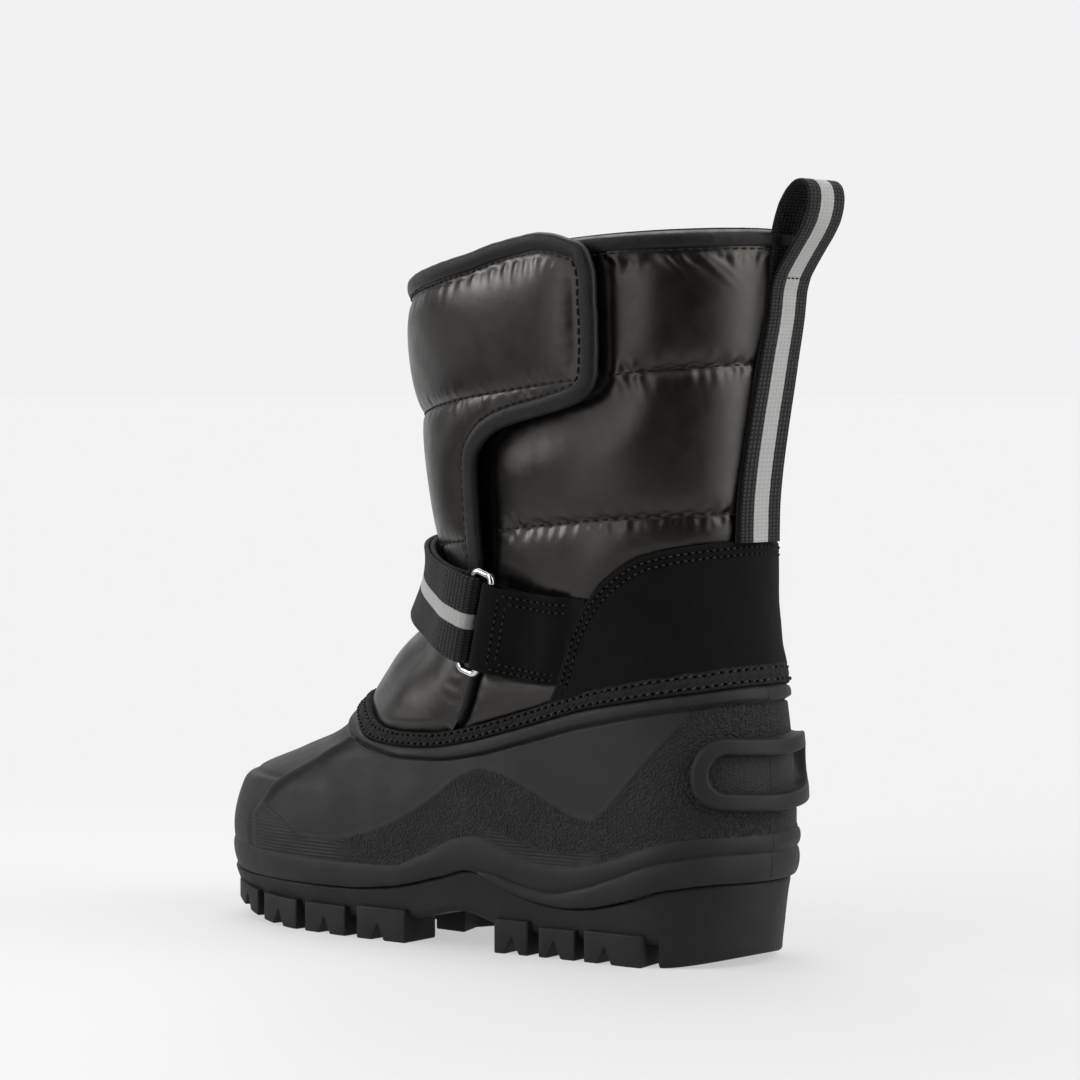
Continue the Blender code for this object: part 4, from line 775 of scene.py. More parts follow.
def shell_relief():
    """Height of the moulded lines over the skin, mm, with the pebble and rib fields."""
    band_top, groove, foot = read(BAND_TOP, y_s), read(HEEL_GROOVE, y_s), wave(y_s)
    edge = read(PEBBLE_TOP, y_s)
    bead_low = skin.sample(skin.rise, T, read(BEAD_LOW, fold(T)))
    bead_top = rise_mm[-1]
    bead = np.clip((rise_mm - bead_low) / (bead_top - bead_low), 0, 1)
    at_bead = ease(-0.3, 0.5, rise_mm - bead_low)

    corners = np.array(PEBBLE_TOP)
    edge = np.where(y_s < 120, edge, np.interp(y_s, corners[:, 0], corners[:, 1]))
    field = ease(-0.30, 0.30, edge - z_s) * (1 - at_bead)          # below the panel's edge
    in_band = ease(-0.35, 0.35, band_top - z_s)
    side_panel = 1 - field
    forward = ease(116.0, 128.0, y_s)
    relief = 0.20 * side_panel * (1 - forward) + 0.50 * field * forward

    heel = 1 - ease(76.0, 81.0, y_s)
    low = np.where(y_s < 79, np.minimum(groove, band_top - 1), foot)
    u = np.clip((z_s - low) / np.maximum(band_top - low, 0.5), 0, 1)
    band = 1.25 * np.clip(4 * u * (1 - u), 0, 1) ** 0.45
    u2 = np.clip((z_s - foot) / np.maximum(groove - foot, 0.5), 0, 1)
    second = heel * 1.35 * np.clip(4 * u2 * (1 - u2), 0, 1) ** 0.45 * (z_s < groove)
    relief = relief * (1 - in_band) + in_band * np.where(z_s > low, band, second)
    # a thin raised line along the top of the band and along the panel's edge
    relief += 0.30 * np.exp(-((z_s - band_top - 0.3) / 0.6) ** 2) * (1 - forward)
    relief += 0.14 * np.exp(-((z_s - edge - 0.5) / 0.6) ** 2) * (y_s > 13) * (1 - at_bead) * (1 - forward)
    relief += 0.25 * np.exp(-((z_s - edge + 0.8) / 0.5) ** 2) * forward * (1 - at_bead)

    # the bead under the topline, with its groove
    relief = relief * (1 - at_bead) + at_bead * (0.55 + 0.75 * np.clip(4 * bead * (1 - bead), 0, 1) ** 0.5)
    relief -= 1.05 * np.exp(-((rise_mm - bead_low) / 0.46) ** 2)

    # toe: two ridges running forward from the instep, and the guard's upright edge
    half = COLS // 2
    line_t = flow(np.linspace(0, 1, len(TOE_RIDGE)), np.array(TOE_RIDGE)[:, 0], np.linspace(0, 1, 240))
    line_v = flow(np.linspace(0, 1, len(TOE_RIDGE)), np.array(TOE_RIDGE)[:, 1], np.linspace(0, 1, 240))
    path = skin(line_t, line_v)
    first = int(0.34 * COLS)
    near = np.full((ROWS, half + 1), 99.0)
    fade = np.zeros((ROWS, half + 1))
    ahead = p_shell[:, first:half + 1]
    for r in range(ROWS):
        gap = np.linalg.norm(ahead[r][:, None, :] - path[None], axis=-1)
        near[r, first:] = gap.min(-1)
        fade[r, first:] = 1 - 0.75 * ease(0.70, 1.0, gap.argmin(-1) / 239.0)
    ridge = fade * (1.9 * np.exp(-(near / 1.3) ** 2) + 0.35 * np.exp(-(near / 3.5) ** 2))
    order = np.argsort(line_v)
    crest_t = np.interp(v_shell, line_v[order], line_t[order])
    # the guard stops at the ridges
    inside = ease(-0.004, 0.003, f_s - crest_t) * (1 - in_band)
    relief -= inside * forward * (0.50 * field + 0.25 * np.exp(-((z_s - edge + 0.8) / 0.5) ** 2) * (1 - at_bead))
    # the flat between the ridges and the guard round the front of the toe
    on_top = ease(0.0, 0.007, f_s - crest_t) * ease(0.193, 0.200, v_shell)
    in_front = ease(0.0, 0.006, f_s - crest_t) * (1 - ease(0.193, 0.200, v_shell)) * (1 - in_band)
    both = np.zeros((ROWS, COLS))
    both[:, :half + 1] = ridge
    mirror = (-np.arange(COLS)) % COLS
    both[:, half + 1:] = both[:, mirror[half + 1:]]
    relief += (both + 0.40 * on_top) * (1 - at_bead)
    relief += 0.45 * in_front - 0.35 * in_front * np.exp(-((f_s - crest_t - 0.004) / 0.003) ** 2)
    relief -= 0.45 * np.exp(-((v_shell - 0.196) / 0.006) ** 2) * ease(0.0, 0.012, f_s - crest_t)

    rib = ease(120, 132, y_s) * field * (1 - in_band) * (1 - ease(0.400, 0.406, f_s)) * (1 - ease(30.0, 31.5, z_s))
    low_rib = ease(36, 44, y_s) * (1 - ease(72, 80, y_s)) * field * (1 - in_band) * (1 - ease(3.0, 4.5, z_s - band_top))
    pebble = field * (1 - in_band) * (1 - ease(120, 134, y_s)) * (1 - low_rib)
    along = ((T + 0.5) % 1.0 - 0.5) * round_mm
    up = rise_mm - skin.sample(skin.rise, T, np.full(COLS, LEDGE_V)) - 2.0 * (np.abs(along) / LEDGE_HALF_LONG) ** 1.5
    window = ease(-1.0, 0.5, LEDGE_HALF_HIGH - LEDGE_BAR / 2 - np.abs(up)) \
        * ease(-1.0, 0.5, LEDGE_HALF_LONG - LEDGE_BAR / 2 - np.abs(along))
    pebble = pebble * (1 - 0.65 * window)
    return relief, pebble, np.clip(rib + low_rib, 0, 1)


relief, pebble, rib = shell_relief()
outer = skin(t_shell, v_shell, relief)
# the edges turn in over the wall
lip = []
for off, up in ((-0.5, 0.35), (-1.3, 0.5), (-SHELL_WALL, 0.2), (-SHELL_WALL, -4.0)):
    lip.append(skin(T, v_top, relief[-1] + off) + np.array([0, 0, up]))
hem = []
for off, up in ((-SHELL_WALL, 3.0), (-SHELL_WALL, -0.2), (-0.9, -0.2), (-0.3, -0.1)):
    hem.append(skin(T, v_low, relief[0] + off) + np.array([0, 0, up]))
shell_points = np.concatenate([np.stack(hem), outer, np.stack(lip)])
pad = lambda a: np.concatenate([np.repeat(a[:1], 4, 0), a, np.repeat(a[-1:], 4, 0)])
grid_piece("shell", shell_points, SHELL_RUBBER, closed=True,
           attrs={"pebble": pad(pebble), "rib": pad(rib)},
           body_slot="shell_rubber", stands_for=["rubber_shell"])

# kick ledge: a rounded raised ring at the back of the heel
straight = LEDGE_HALF_LONG - LEDGE_HALF_HIGH
oval = []
for k in range(60):
    oval.append((straight * (-1 + 2 * k / 60), -LEDGE_HALF_HIGH, 0.0, -1.0))
for k in range(40):
    a = math.pi * k / 40 - math.pi / 2
    oval.append((straight + LEDGE_HALF_HIGH * math.cos(a), LEDGE_HALF_HIGH * math.sin(a), math.cos(a), math.sin(a)))
oval += [(-a, -b, -c, -d) for a, b, c, d in oval]
oval = np.array(oval)
edge_w = LEDGE_BAR / 2
profile = [(-edge_w - 0.9, -0.5), (-edge_w - 0.35, 0.15), (-edge_w - 0.05, 1.0), (-edge_w + 0.15, 2.4)]
profile += [(-edge_w + 0.9 - 0.9 * math.cos(a), LEDGE_PROUD - 0.9 + 0.9 * math.sin(a))
            for a in np.linspace(0.4, math.pi / 2, 5)]
profile = np.array(profile + [(-a, b) for a, b in reversed(profile)])
la = oval[:, None, 0] + oval[:, None, 2] * profile[None, :, 0]
lb = oval[:, None, 1] + oval[:, None, 3] * profile[None, :, 0]
lt = la / round_mm
lv = skin.climb(lt, LEDGE_V, lb + 2.0 * (np.abs(la) / LEDGE_HALF_LONG) ** 1.5)
ledge_points = skin(lt, lv, np.broadcast_to(profile[None, :, 1], lt.shape))
rows_l, cols_l = ledge_points.shape[:2]
ledge_quads = []
for i in range(rows_l):
    j = (i + 1) % rows_l
    for k in range(cols_l - 1):
        ledge_quads.append((i * cols_l + k, i * cols_l + k + 1, j * cols_l + k + 1, j * cols_l + k))
build("kick_ledge", ledge_points, np.array(ledge_quads), SHELL_RUBBER, body_slot="shell_rubber")

# mould line up the centre of the heel
seam_column = outer[4:, 2]
seam_normal = skin.normal(np.full(len(seam_column), T[2]), v_shell[4:, 2])
seam_side = unit(np.cross(seam_normal, np.gradient(seam_column, axis=0)))
bar_shape = np.array([(-0.42, -0.25), (-0.22, 0.10), (0.0, 0.17), (0.22, 0.10), (0.42, -0.25)])
seam_points = (seam_column[:, None] + seam_side[:, None] * bar_shape[None, :, :1]
               + seam_normal[:, None] * bar_shape[None, :, 1:])
grid_piece("mould_line", seam_points, SHELL_RUBBER, body_slot="shell_rubber")

# --------------------------------------------------------------------- outsole


def ring_at(height, t=T, off=-OUTSOLE_INSET):
    v = skin.v_at_height(t, height)
    front = 2.2 * ease(150.0, 186.0, skin(t, v)[:, 1])      # the toe's wall stands flush
    ring = skin(t, v, off + front)
    ring[:, 2] = height(ring[:, 1])
    return ring


def flat_normals(points):
    d = np.roll(points, -1, 0) - np.roll(points, 1, 0)
    n = unit(np.stack([d[:, 1], -d[:, 0]], -1))
    if np.sum(n * (points[:, :2] - points[:, :2].mean(0))) < 0:
        n = -n
    return n


wall_rows = []
for a in np.linspace(0, 1, 14):
    wall_rows.append(ring_at(lambda y, a=a: slab_under(y) + (wave(y) - slab_under(y)) * a))
wall_rows = np.stack(wall_rows)
# the foot of the wall rounds under, and the top edge turns in below the shell
top_n = flat_normals(wall_rows[-1])
top_in = wall_rows[-1].copy()
top_in[:, :2] -= top_n * 2.2
top_in[:, 2] += 0.1
low_n = flat_normals(wall_rows[0])
wall_rows[0][:, :2] -= low_n * 0.7
wall_rows[1][:, :2] -= low_n * 0.2
wall_rows[-1][:, :2] -= top_n * 0.25
foot_ring = wall_rows[0].copy()
foot_ring[:, :2] -= low_n * 1.2
HALF = COLS // 2
left = foot_ring[: HALF + 1]
right = foot_ring[(-np.arange(HALF + 1)) % COLS]
c = np.linspace(0, 1, 9)[None, :, None]
slab = left[:, None] + (right - left)[:, None] * c
slab[:, 1:-1, 2] = slab_under(slab[:, 1:-1, 1])
wall_all = np.concatenate([foot_ring[None], wall_rows, top_in[None]])
n_wall = wall_all.shape[0] * COLS
sole_quads = np.concatenate([quads_of(wall_all.shape[0], COLS, True),
                             n_wall + quads_of(HALF + 1, 9, False)])
sole_verts = np.concatenate([wall_all.reshape(-1, 3), slab.reshape(-1, 3)])
zeros = np.zeros(len(sole_verts))
build("sole_wall", sole_verts, sole_quads, SOLE_RUBBER, attrs={"pebble": zeros, "rib": zeros},
      body_slot="tread_rubber", stands_for=["outsole"])

EDGE_V = -0.02


def t_at_y(y):
    t = np.linspace(0.0, 0.5, 800)
    return np.interp(y, skin(t, np.full(800, EDGE_V))[:, 1], t)


def edge_frame(t):
    p = skin(t, np.full(np.shape(t), EDGE_V))
    d = (skin(np.asarray(t) + 0.002, np.full(np.shape(t), EDGE_V))
         - skin(np.asarray(t) - 0.002, np.full(np.shape(t), EDGE_V)))[:, :2]
    n = unit(np.stack([-d[:, 1], d[:, 0]], -1))
    if np.sum(n * (p[:, :2] - np.array([0.0, 95.0]))) < 0:
        n = -n
    return p[:, :2], n


lug_mesh = bmesh.new()


def lug(points_outer, points_inner, low, high, round_mm=0.55):
    """A block with rounded edges from matching rows of plan points."""
    work = bmesh.new()
    rows = []
    for po, pi, a, b in zip(points_outer, points_inner, low, high):
        corners = [(*po, a), (*po, b), (*pi, b), (*pi, a)]
        rows.append([work.verts.new((np.array(p) - SHIFT) * MM) for p in corners])
    for r, s in zip(rows[:-1], rows[1:]):
        for k in range(4):
            work.faces.new((r[k], r[(k + 1) % 4], s[(k + 1) % 4], s[k]))
    work.faces.new(rows[0])
    work.faces.new(list(reversed(rows[-1])))
    bmesh.ops.recalc_face_normals(work, faces=work.faces)
    hard = [e for e in work.edges if e.calc_face_angle(0) > math.radians(25)]
    bmesh.ops.bevel(work, geom=hard, offset=round_mm * MM, segments=3, profile=0.55,
                    affect="EDGES", clamp_overlap=True)
    made = bpy.data.meshes.new("lug")
    work.to_mesh(made)
    work.free()
    lug_mesh.from_mesh(made)
    bpy.data.meshes.remove(made)


for y_from, y_notch, y_to, top in SIDE_LUGS:
    ys = np.array([y_from, (y_from + y_notch - NOTCH_HALF) / 2, y_notch - NOTCH_HALF, y_notch,
                   y_notch + NOTCH_HALF, (y_notch + NOTCH_HALF + y_to) / 2, y_to])
    low = tread(ys)
    low[3] += NOTCH_HIGH
    high = np.full(7, top) + 0.5 * (tread(ys) - tread(ys[3]))
    for side in (1, -1):
        t = t_at_y(ys) if side > 0 else 1.0 - t_at_y(ys)
        p, n = edge_frame(t)
        lug(p + n * LUG_GROW, p - n * LUG_DEEP, low, high)

for y_mid, half_long, half_wide in MIDDLE_LUGS:
    centre = float(np.mean(skin(np.array([t_at_y(y_mid), 1 - t_at_y(y_mid)]), np.full(2, EDGE_V))[:, 0]))
    xs = centre + half_wide * np.array([-1.0, 0.0, 1.0])
    point = np.array([-2.0, 2.0, -2.0])
    back = np.stack([xs, y_mid - half_long + point], -1)
    front = np.stack([xs, y_mid + half_long + point], -1)
    lug(back, front, tread(np.full(3, y_mid)), np.full(3, float(slab_under(y_mid)) + 2.0))

# heel block: the whole back of the heel, flush with the wall, bevelled up to the rear
block_t = np.linspace(-t_at_y(HEEL_BLOCK_TO), t_at_y(HEEL_BLOCK_TO), 97)
block_rows = []
for a in (0.0, 0.04, 0.12, 0.35, 0.7, 1.0):
    ring = ring_at(lambda y, a=a: tread(y) + (11.0 - tread(y)) * a, block_t, -OUTSOLE_INSET + 0.06)
    inward = np.array([0.0, 26.0]) - ring[:, :2]
    inset = {0.0: 1.1, 0.04: 0.5, 0.12: 0.1}.get(a, 0.0)
    ring[:, :2] += unit(inward) * inset
    block_rows.append(ring)
block_rows = np.stack(block_rows)
count = len(block_t)
under = block_rows[0]
fill = []
for i in range(count // 2):
    fill.append((i, count - 1 - i, count - 2 - i, i + 1) if i + 1 != count - 2 - i else None)
fill = [q for q in fill if q]
front_ids = [(k * count, k * count + count - 1, (k + 1) * count + count - 1, (k + 1) * count)
             for k in range(len(block_rows) - 1)]
block_quads = np.concatenate([quads_of(len(block_rows), count), np.array(fill), np.array(front_ids)])
zero = np.zeros(block_rows.shape[:2])
build("heel_block", block_rows, block_quads, SOLE_RUBBER, attrs={"pebble": zero, "rib": zero},
      body_slot="tread_rubber", sharp=40)

lug_data = bpy.data.meshes.new("lugs")
lug_mesh.to_mesh(lug_data)
lug_mesh.free()
lug_data.shade_smooth()
lug_data.set_sharp_from_angle(angle=math.radians(45))
lug_data.materials.append(SOLE_RUBBER)
lugs = bpy.data.objects.new("lugs", lug_data)
bpy.context.scene.collection.objects.link(lugs)
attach(lugs, "root")

# ------------------------------------------------- belt: ring, tab and strap


class Belt:
    """Places (along, across, out) in mm from the ring: flat by the ring, on the skin further off."""

    def __init__(self):
        self.t = np.linspace(BELT[0][0], BELT[-1][0], 600)
        self.v = read(BELT, self.t)
        line = skin(self.t, self.v)
        run = np.concatenate([[0], np.cumsum(np.linalg.norm(np.diff(line, axis=0), axis=-1))])
        self.run = run - np.interp(RING_AT, self.t, run)
        v_ring = float(read(BELT, RING_AT))
        self.origin = skin(RING_AT, v_ring)
        self.out = skin.normal(RING_AT, v_ring)
        ahead = skin(RING_AT + 0.02, float(read(BELT, RING_AT + 0.02)))
        ahead = ahead - skin(RING_AT - 0.02, float(read(BELT, RING_AT - 0.02)))
        ahead -= self.out * ahead.dot(self.out)
        self.ahead = ahead / np.linalg.norm(ahead)
        self.up = np.cross(self.ahead, self.out)
        if self.up[2] < 0:
            self.up = -self.up
        rise = skin(self.t, self.v + 0.02) - skin(self.t, self.v - 0.02)
        self.per_mm = 0.04 / np.linalg.norm(rise, axis=-1)

    def flat(self, along, across, out):
        return (self.origin + np.asarray(along)[..., None] * self.ahead
                + np.asarray(across)[..., None] * self.up + np.asarray(out)[..., None] * self.out)

    def __call__(self, along, across, out):
        along, across, out = np.broadcast_arrays(*[np.asarray(a, float) for a in (along, across, out)])
        t = np.interp(along, self.run, self.t)
        v = np.interp(along, self.run, self.v) + across * np.interp(along, self.run, self.per_mm)
        front = ease(0.325, 0.39, t) * (1 - ease(0.61, 0.665, t))
        out = out + STRAP_LEAN * front * (across / WEB_WIDE + 0.5)
        far = ease(5.0, 20.0, np.abs(along))[..., None]
        return self.flat(along, across, out) * (1 - far) + skin(t, v, out) * far

    def at(self, t):
        return float(np.interp(t, self.t, self.run))

    def across_of(self, t, v):
        """mm above the belt's middle line at (t, v)."""
        t = np.asarray(t, float)
        return (v - np.interp(t, self.t, self.v)) / np.interp(t, self.t, self.per_mm)


belt = Belt()


def pinch(t, v):
    t, v = np.asarray(t, float), np.asarray(v, float)
    ends = ease(0.325, 0.39, t) * (1 - ease(0.61, 0.665, t))
    middle = read(BELT, np.clip(t, BELT[0][0], BELT[-1][0]))
    return ends * np.where(v > middle, 1 - ease(0.025, 0.075, v - middle),
                           1 - ease(0.075, 0.13, middle - v))


# ------------------------------------------------------------- cloth that puffs
def settle(start, ground, normal, pinned, slack_u, slack_v, loft, steps, closed, fill=0.06, bend=0.30):
    """Position-based cloth.  The sheet is cut slack_u and slack_v times as long as
    the ground it covers, is held where it is sewn, is carried at about its
    filling's loft (mm over the ground) and takes up the rest of its length in
    folds.  fill is how firmly the filling holds it."""
    rows, cols = start.shape[:2]
    x = start.reshape(-1, 3).copy()
    g, n0 = ground.reshape(-1, 3), normal.reshape(-1, 3)
    goal = np.broadcast_to(loft, (rows, cols)).ravel()
    free = np.where(pinned.ravel(), 0.0, 1.0)
    index = np.arange(rows * cols).reshape(rows, cols)
    su = np.broadcast_to(slack_u, (rows, cols)).ravel()
    sv = np.broadcast_to(slack_v, (rows, cols)).ravel()
    groups = []

    def couple(a, b, stiff, kind):
        a, b = a.ravel(), b.ravel()
        w = free[a] + free[b]
        keep = w > 0
        a, b, w = a[keep], b[keep], w[keep]
        d = g[a] - g[b]
        rest = np.linalg.norm(d, axis=-1)
        slack = {"u": su[a], "v": sv[a], "d": np.sqrt((su[a] ** 2 + sv[a] ** 2) / 2)}[kind]
        groups.append((a, b, rest * slack, (free[a] / w)[:, None] * stiff, (free[b] / w)[:, None] * stiff))

    right = np.roll(index, -1, 1)
    last = cols if closed else cols - 1
    for first in (0, 1):
        c = np.arange(first, last, 2)
        couple(index[:, c], right[:, c], 1.0, "u")
        r = np.arange(first, rows - 1, 2)
        couple(index[r], index[r + 1], 1.0, "v")
        c = np.arange(last)
        couple(index[np.ix_(r, c)], np.roll(index, -1, 1)[np.ix_(r + 1, c)], 0.25, "d")
        couple(np.roll(index, -1, 1)[np.ix_(r, c)], index[np.ix_(r + 1, c)], 0.25, "d")
    for first in (0, 2):
        c = np.array([k for k in range(last if closed else cols - 2) if k % 4 in (first, first + 1)])
        if len(c):
            couple(index[:, c], np.roll(index, -2, 1)[:, c], bend, "u")
        r = np.array([k for k in range(rows - 2) if k % 4 in (first, first + 1)])
        couple(index[r], index[r + 2], bend, "v")
    for first in (0, 4):
        c = np.array([k for k in range(last if closed else cols - 4) if k % 8 in range(first, first + 4)])
        couple(index[:, c], np.roll(index, -4, 1)[:, c], bend, "u")

    for k in range(steps):
        off = np.einsum("ij,ij->i", x - g, n0)
        x = x + n0 * ((goal - off) * fill * free)[:, None]
        for a, b, rest, wa, wb in groups:
            d = x[a] - x[b]
            size = np.maximum(np.linalg.norm(d, axis=-1), 1e-9)
            d *= ((size - rest) / size)[:, None]
            x[a] -= d * wa
            x[b] += d * wb
        off = np.einsum("ij,ij->i", x - g, n0)
        short = np.clip(-0.25 - off, 0, None) * free
        x += n0 * short[:, None]
    s = x.reshape(rows, cols, 3)
    for _ in range(2):
        mean = np.empty_like(s)
        left_, right_ = (np.roll(s, 1, 1), np.roll(s, -1, 1)) if closed else (
            np.concatenate([s[:, :1], s[:, :-1]], 1), np.concatenate([s[:, 1:], s[:, -1:]], 1))
        up_, down_ = np.concatenate([s[1:], s[-1:]]), np.concatenate([s[:1], s[:-1]])
        mean = (left_ + right_ + up_ + down_) / 4
        s = np.where(pinned[..., None], s, s * 0.65 + mean * 0.35)
    return s


STEPS = 170


def pillow(held_at, ground, closed, rounds=140):
    """Height of a filled pocket, mm squared: even pressure on a film held at the seams."""
    du = np.linalg.norm(np.roll(ground, -1, 1) - ground, axis=-1)
    if not closed:
        du[:, -1] = du[:, -2]
    dv = np.linalg.norm(np.gradient(ground, axis=0), axis=-1)
    a, b = 1 / np.maximum(du, 0.05) ** 2, 1 / np.maximum(dv, 0.05) ** 2
    u = np.zeros(held_at.shape)
    r, c = np.indices(held_at.shape)
    for k in range(rounds):
        for odd in (0, 1):
            up = np.concatenate([u[1:], u[-1:]])
            down = np.concatenate([u[:1], u[:-1]])
            level = (a * (np.roll(u, 1, 1) + np.roll(u, -1, 1)) + b * (up + down) + 1.0) / (2 * a + 2 * b)
            u = np.where(((r + c) % 2 == odd) & ~held_at, u + 1.8 * (level - u), u)
    return np.clip(u, 0, None)


def puckers(along, off, folds):
    """Soft ridges that start at a seam: folds are (place mm, length, half width, height, lean)."""
    out = np.zeros(along.shape)
    for place, length, half_wide, height, lean in folds:
        s = off / length
        near = (s > 0) & (s < 1) & (np.abs(along - place) < 4 * half_wide + abs(lean) * length)
        if not near.any():
            continue
        q, d = s[near], along[near] - place - lean * off[near]
        w = half_wide * (1.15 - 0.5 * q)
        ridge = np.exp(-(d / w) ** 2) - 0.55 * np.exp(-((d - 1.9 * w) / w) ** 2) - 0.55 * np.exp(-((d + 1.9 * w) / w) ** 2)
        out[near] += height * ridge * np.clip(q / 0.10, 0, 1) * (1 - q) ** 1.2
    return out


# ------------------------------------------------------------ the quilted shaft
COLLAR_LOW = 0.977
U_COLS = 480
tu = np.arange(U_COLS) / U_COLS
foot_u = skin.climb(tu, topline(tu), 0.55)
levels = []
for a in np.linspace(0, 1, 57)[:-1]:
    levels.append(foot_u + (QUILT_LOW - foot_u) * a)
SEAM_1 = len(levels)
for a in np.linspace(0, 1, 49)[:-1]:
    levels.append(np.full(U_COLS, QUILT_LOW + (QUILT_HIGH - QUILT_LOW) * a))
SEAM_2 = len(levels)
for a in np.linspace(0, 1, 47):
    levels.append(np.full(U_COLS, QUILT_HIGH + (COLLAR_LOW - QUILT_HIGH) * a))
v_u = np.array(levels)
t_u = np.broadcast_to(tu, v_u.shape)
g_u, n_u = skin(t_u, v_u), skin.normal(t_u, v_u)
f_u = fold(t_u)

flap_v = np.linspace(0.36, 1.0, 200)
flap_line = skin(flap_edge(flap_v), flap_v)
in_flap = (t_u > flap_edge(v_u) - 0.0015 - 0.0075 * ease(0.47, 0.56, v_u)) & (t_u < FLAP_SEAM - 0.0105)
on_seam = np.abs(t_u - FLAP_SEAM + 0.0040) < 0.0066


def inside_counter(t, v):
    f = fold(t)
    return (f < COUNTER_FRONT) & (v < counter_top(f))


def inside_tab(t, v):
    f = fold(t)
    side = (t < 0.5) & (f > COUNTER_FRONT - 0.01) & (f < RING_AT + 0.01)
    far = (t > 0.5) & (t < 0.735)
    mirrored = np.where(t < 0.5, f, np.clip(t, BELT[0][0], BELT[-1][0]))
    return (side | far) & (np.abs(belt.across_of(mirrored, v)) < WEB_WIDE / 2)


bind_u = skin.climb(tu, topline(tu), BINDING_HIGH + 0.5)
in_binding = v_u < bind_u
at_collar = v_u > 0.9665
in_web = (np.abs(g_u[..., 0] - web_middle(v_u)) < PULL_WIDE / 2 - 3.0) & (g_u[..., 1] < 40) & (v_u > 0.55)
held = inside_counter(t_u, v_u) | inside_tab(t_u, v_u) | in_binding | in_web


sewn = held | in_flap | on_seam | at_collar
sewn[SEAM_1] = sewn[SEAM_2] = True
sewn[0] = sewn[-1] = True
base_off = np.where(in_flap, -PRESSED, np.where(held, -SINK, np.where(at_collar, 0.1, -SEAM_DIP))) - PINCH_UPPER * pinch(t_u, v_u)
# the ground under the cloth changes level gently
for _ in range(10):
    near = (np.roll(base_off, 1, 1) + np.roll(base_off, -1, 1)) / 2
    near[1:-1] = (near[1:-1] + (base_off[:-2] + base_off[2:]) / 2) / 2
    base_off = np.where(sewn, base_off, near)
rise_u = skin.sample(skin.rise, t_u, v_u)
film = pillow(sewn, g_u, True)
loft_u = 3.6 * (1 - np.exp(-film / 62.0))
FLAP_RUN = np.linspace(0.50, 0.97, 160)
loft_u = loft_u * (1 - 0.70 * ease(0.74, 0.86, t_u))        # flatter on the inner side, by the web
from_flap = np.min([np.linalg.norm(g_u - p, axis=-1) for p in skin(flap_edge(FLAP_RUN), FLAP_RUN)], axis=0)
loft_u = np.where((t_u < 0.5) & (v_u > 0.55), loft_u * (0.15 + 0.85 * ease(0.0, 17.0, from_flap)), loft_u)
round_u = np.linalg.norm(np.roll(g_u, -1, 1) - g_u, axis=-1).sum(1)[:, None]
pucker = np.zeros(v_u.shape)
for v_seam, sign, folds in ((0.9665, -1, COLLAR_FOLDS), (QUILT_HIGH, -1, UPPER_SEAM_FOLDS),
                            (QUILT_LOW, -1, LOWER_SEAM_FOLDS), (QUILT_HIGH, 1, OVER_SEAM_FOLDS[3:]),
                            (QUILT_LOW, 1, OVER_SEAM_FOLDS)):
    off_mm = sign * (rise_u - skin.sample(skin.rise, t_u, np.full(v_u.shape, v_seam)))
    for t0, length, half_wide, height, lean in folds:
        for place, tilt in ((t0, lean), (1 - t0, -lean)):
            gap = ((t_u - place + 0.5) % 1.0 - 0.5) * round_u
            pucker += puckers(gap, off_mm, ((0.0, length, half_wide, height * (0.9 if sign > 0 else 0.28 if v_seam == QUILT_LOW else 0.60), tilt),))
pucker = np.where(sewn, 0.0, pucker)
to_seam = np.min([np.abs(rise_u - skin.sample(skin.rise, t_u, np.full(v_u.shape, k)))
                  for k in (0.9665, QUILT_HIGH, QUILT_LOW)], axis=0)
goal_u = loft_u + pucker
ripple = noise2(v_u.shape, (16, 60), 11, True) * 0.35
start_u = base_off + goal_u + np.where(sewn, 0.0, ripple * np.clip(loft_u / 2.0, 0, 1))
slack_u = 1.012 + 0.05 * np.exp(-(to_seam / 4.5) ** 2) + 0.008 * noise2(v_u.shape, (9, 34), 13, True)
quilt = settle(skin(t_u, v_u, start_u), skin(t_u, v_u, base_off), n_u, sewn, slack_u, 1.035,
               goal_u, STEPS, True)
circ = float(np.linalg.norm(np.diff(np.concatenate([g_u[100], g_u[100, :1]]), axis=0), axis=-1).sum())
st_u = np.stack([t_u * circ, skin.sample(skin.rise, t_u, v_u), np.zeros_like(t_u)], -1)
quilt_piece = grid_piece("quilted_shaft", quilt, NYLON, closed=True, attrs={"st": st_u.reshape(-1, 3)},
                         body_slot="quilted_nylon", stands_for=["upper"])

# lining: fleece from the collar down to the insole
L_COLS = 240
tl = np.arange(L_COLS) / L_COLS
low_l = skin.v_at_height(tl, lambda y: slab_floor(y) + INSOLE_THICK + 1.0)
rows_l = []
for a in np.linspace(0, 1, 70):
    v_row = low_l + (COLLAR - low_l) * a
    deep = -(UPPER_WALL + 0.3) - 1.0 * ease(0.40, 0.30, v_row)
    rows_l.append(skin(tl, v_row, deep))
lining = np.stack(rows_l)
soft = noise2(lining.shape[:2], (30, 110), 21, True) * 0.35
lining = lining + skin.normal(np.broadcast_to(tl, soft.shape), np.broadcast_to(np.linspace(0, 1, 70)[:, None], soft.shape)) * soft[..., None]
grid_piece("lining", lining, FLEECE, closed=True, flip=True, body_slot="quilted_nylon")

# ------------------------------------------------------------- swept edge bands


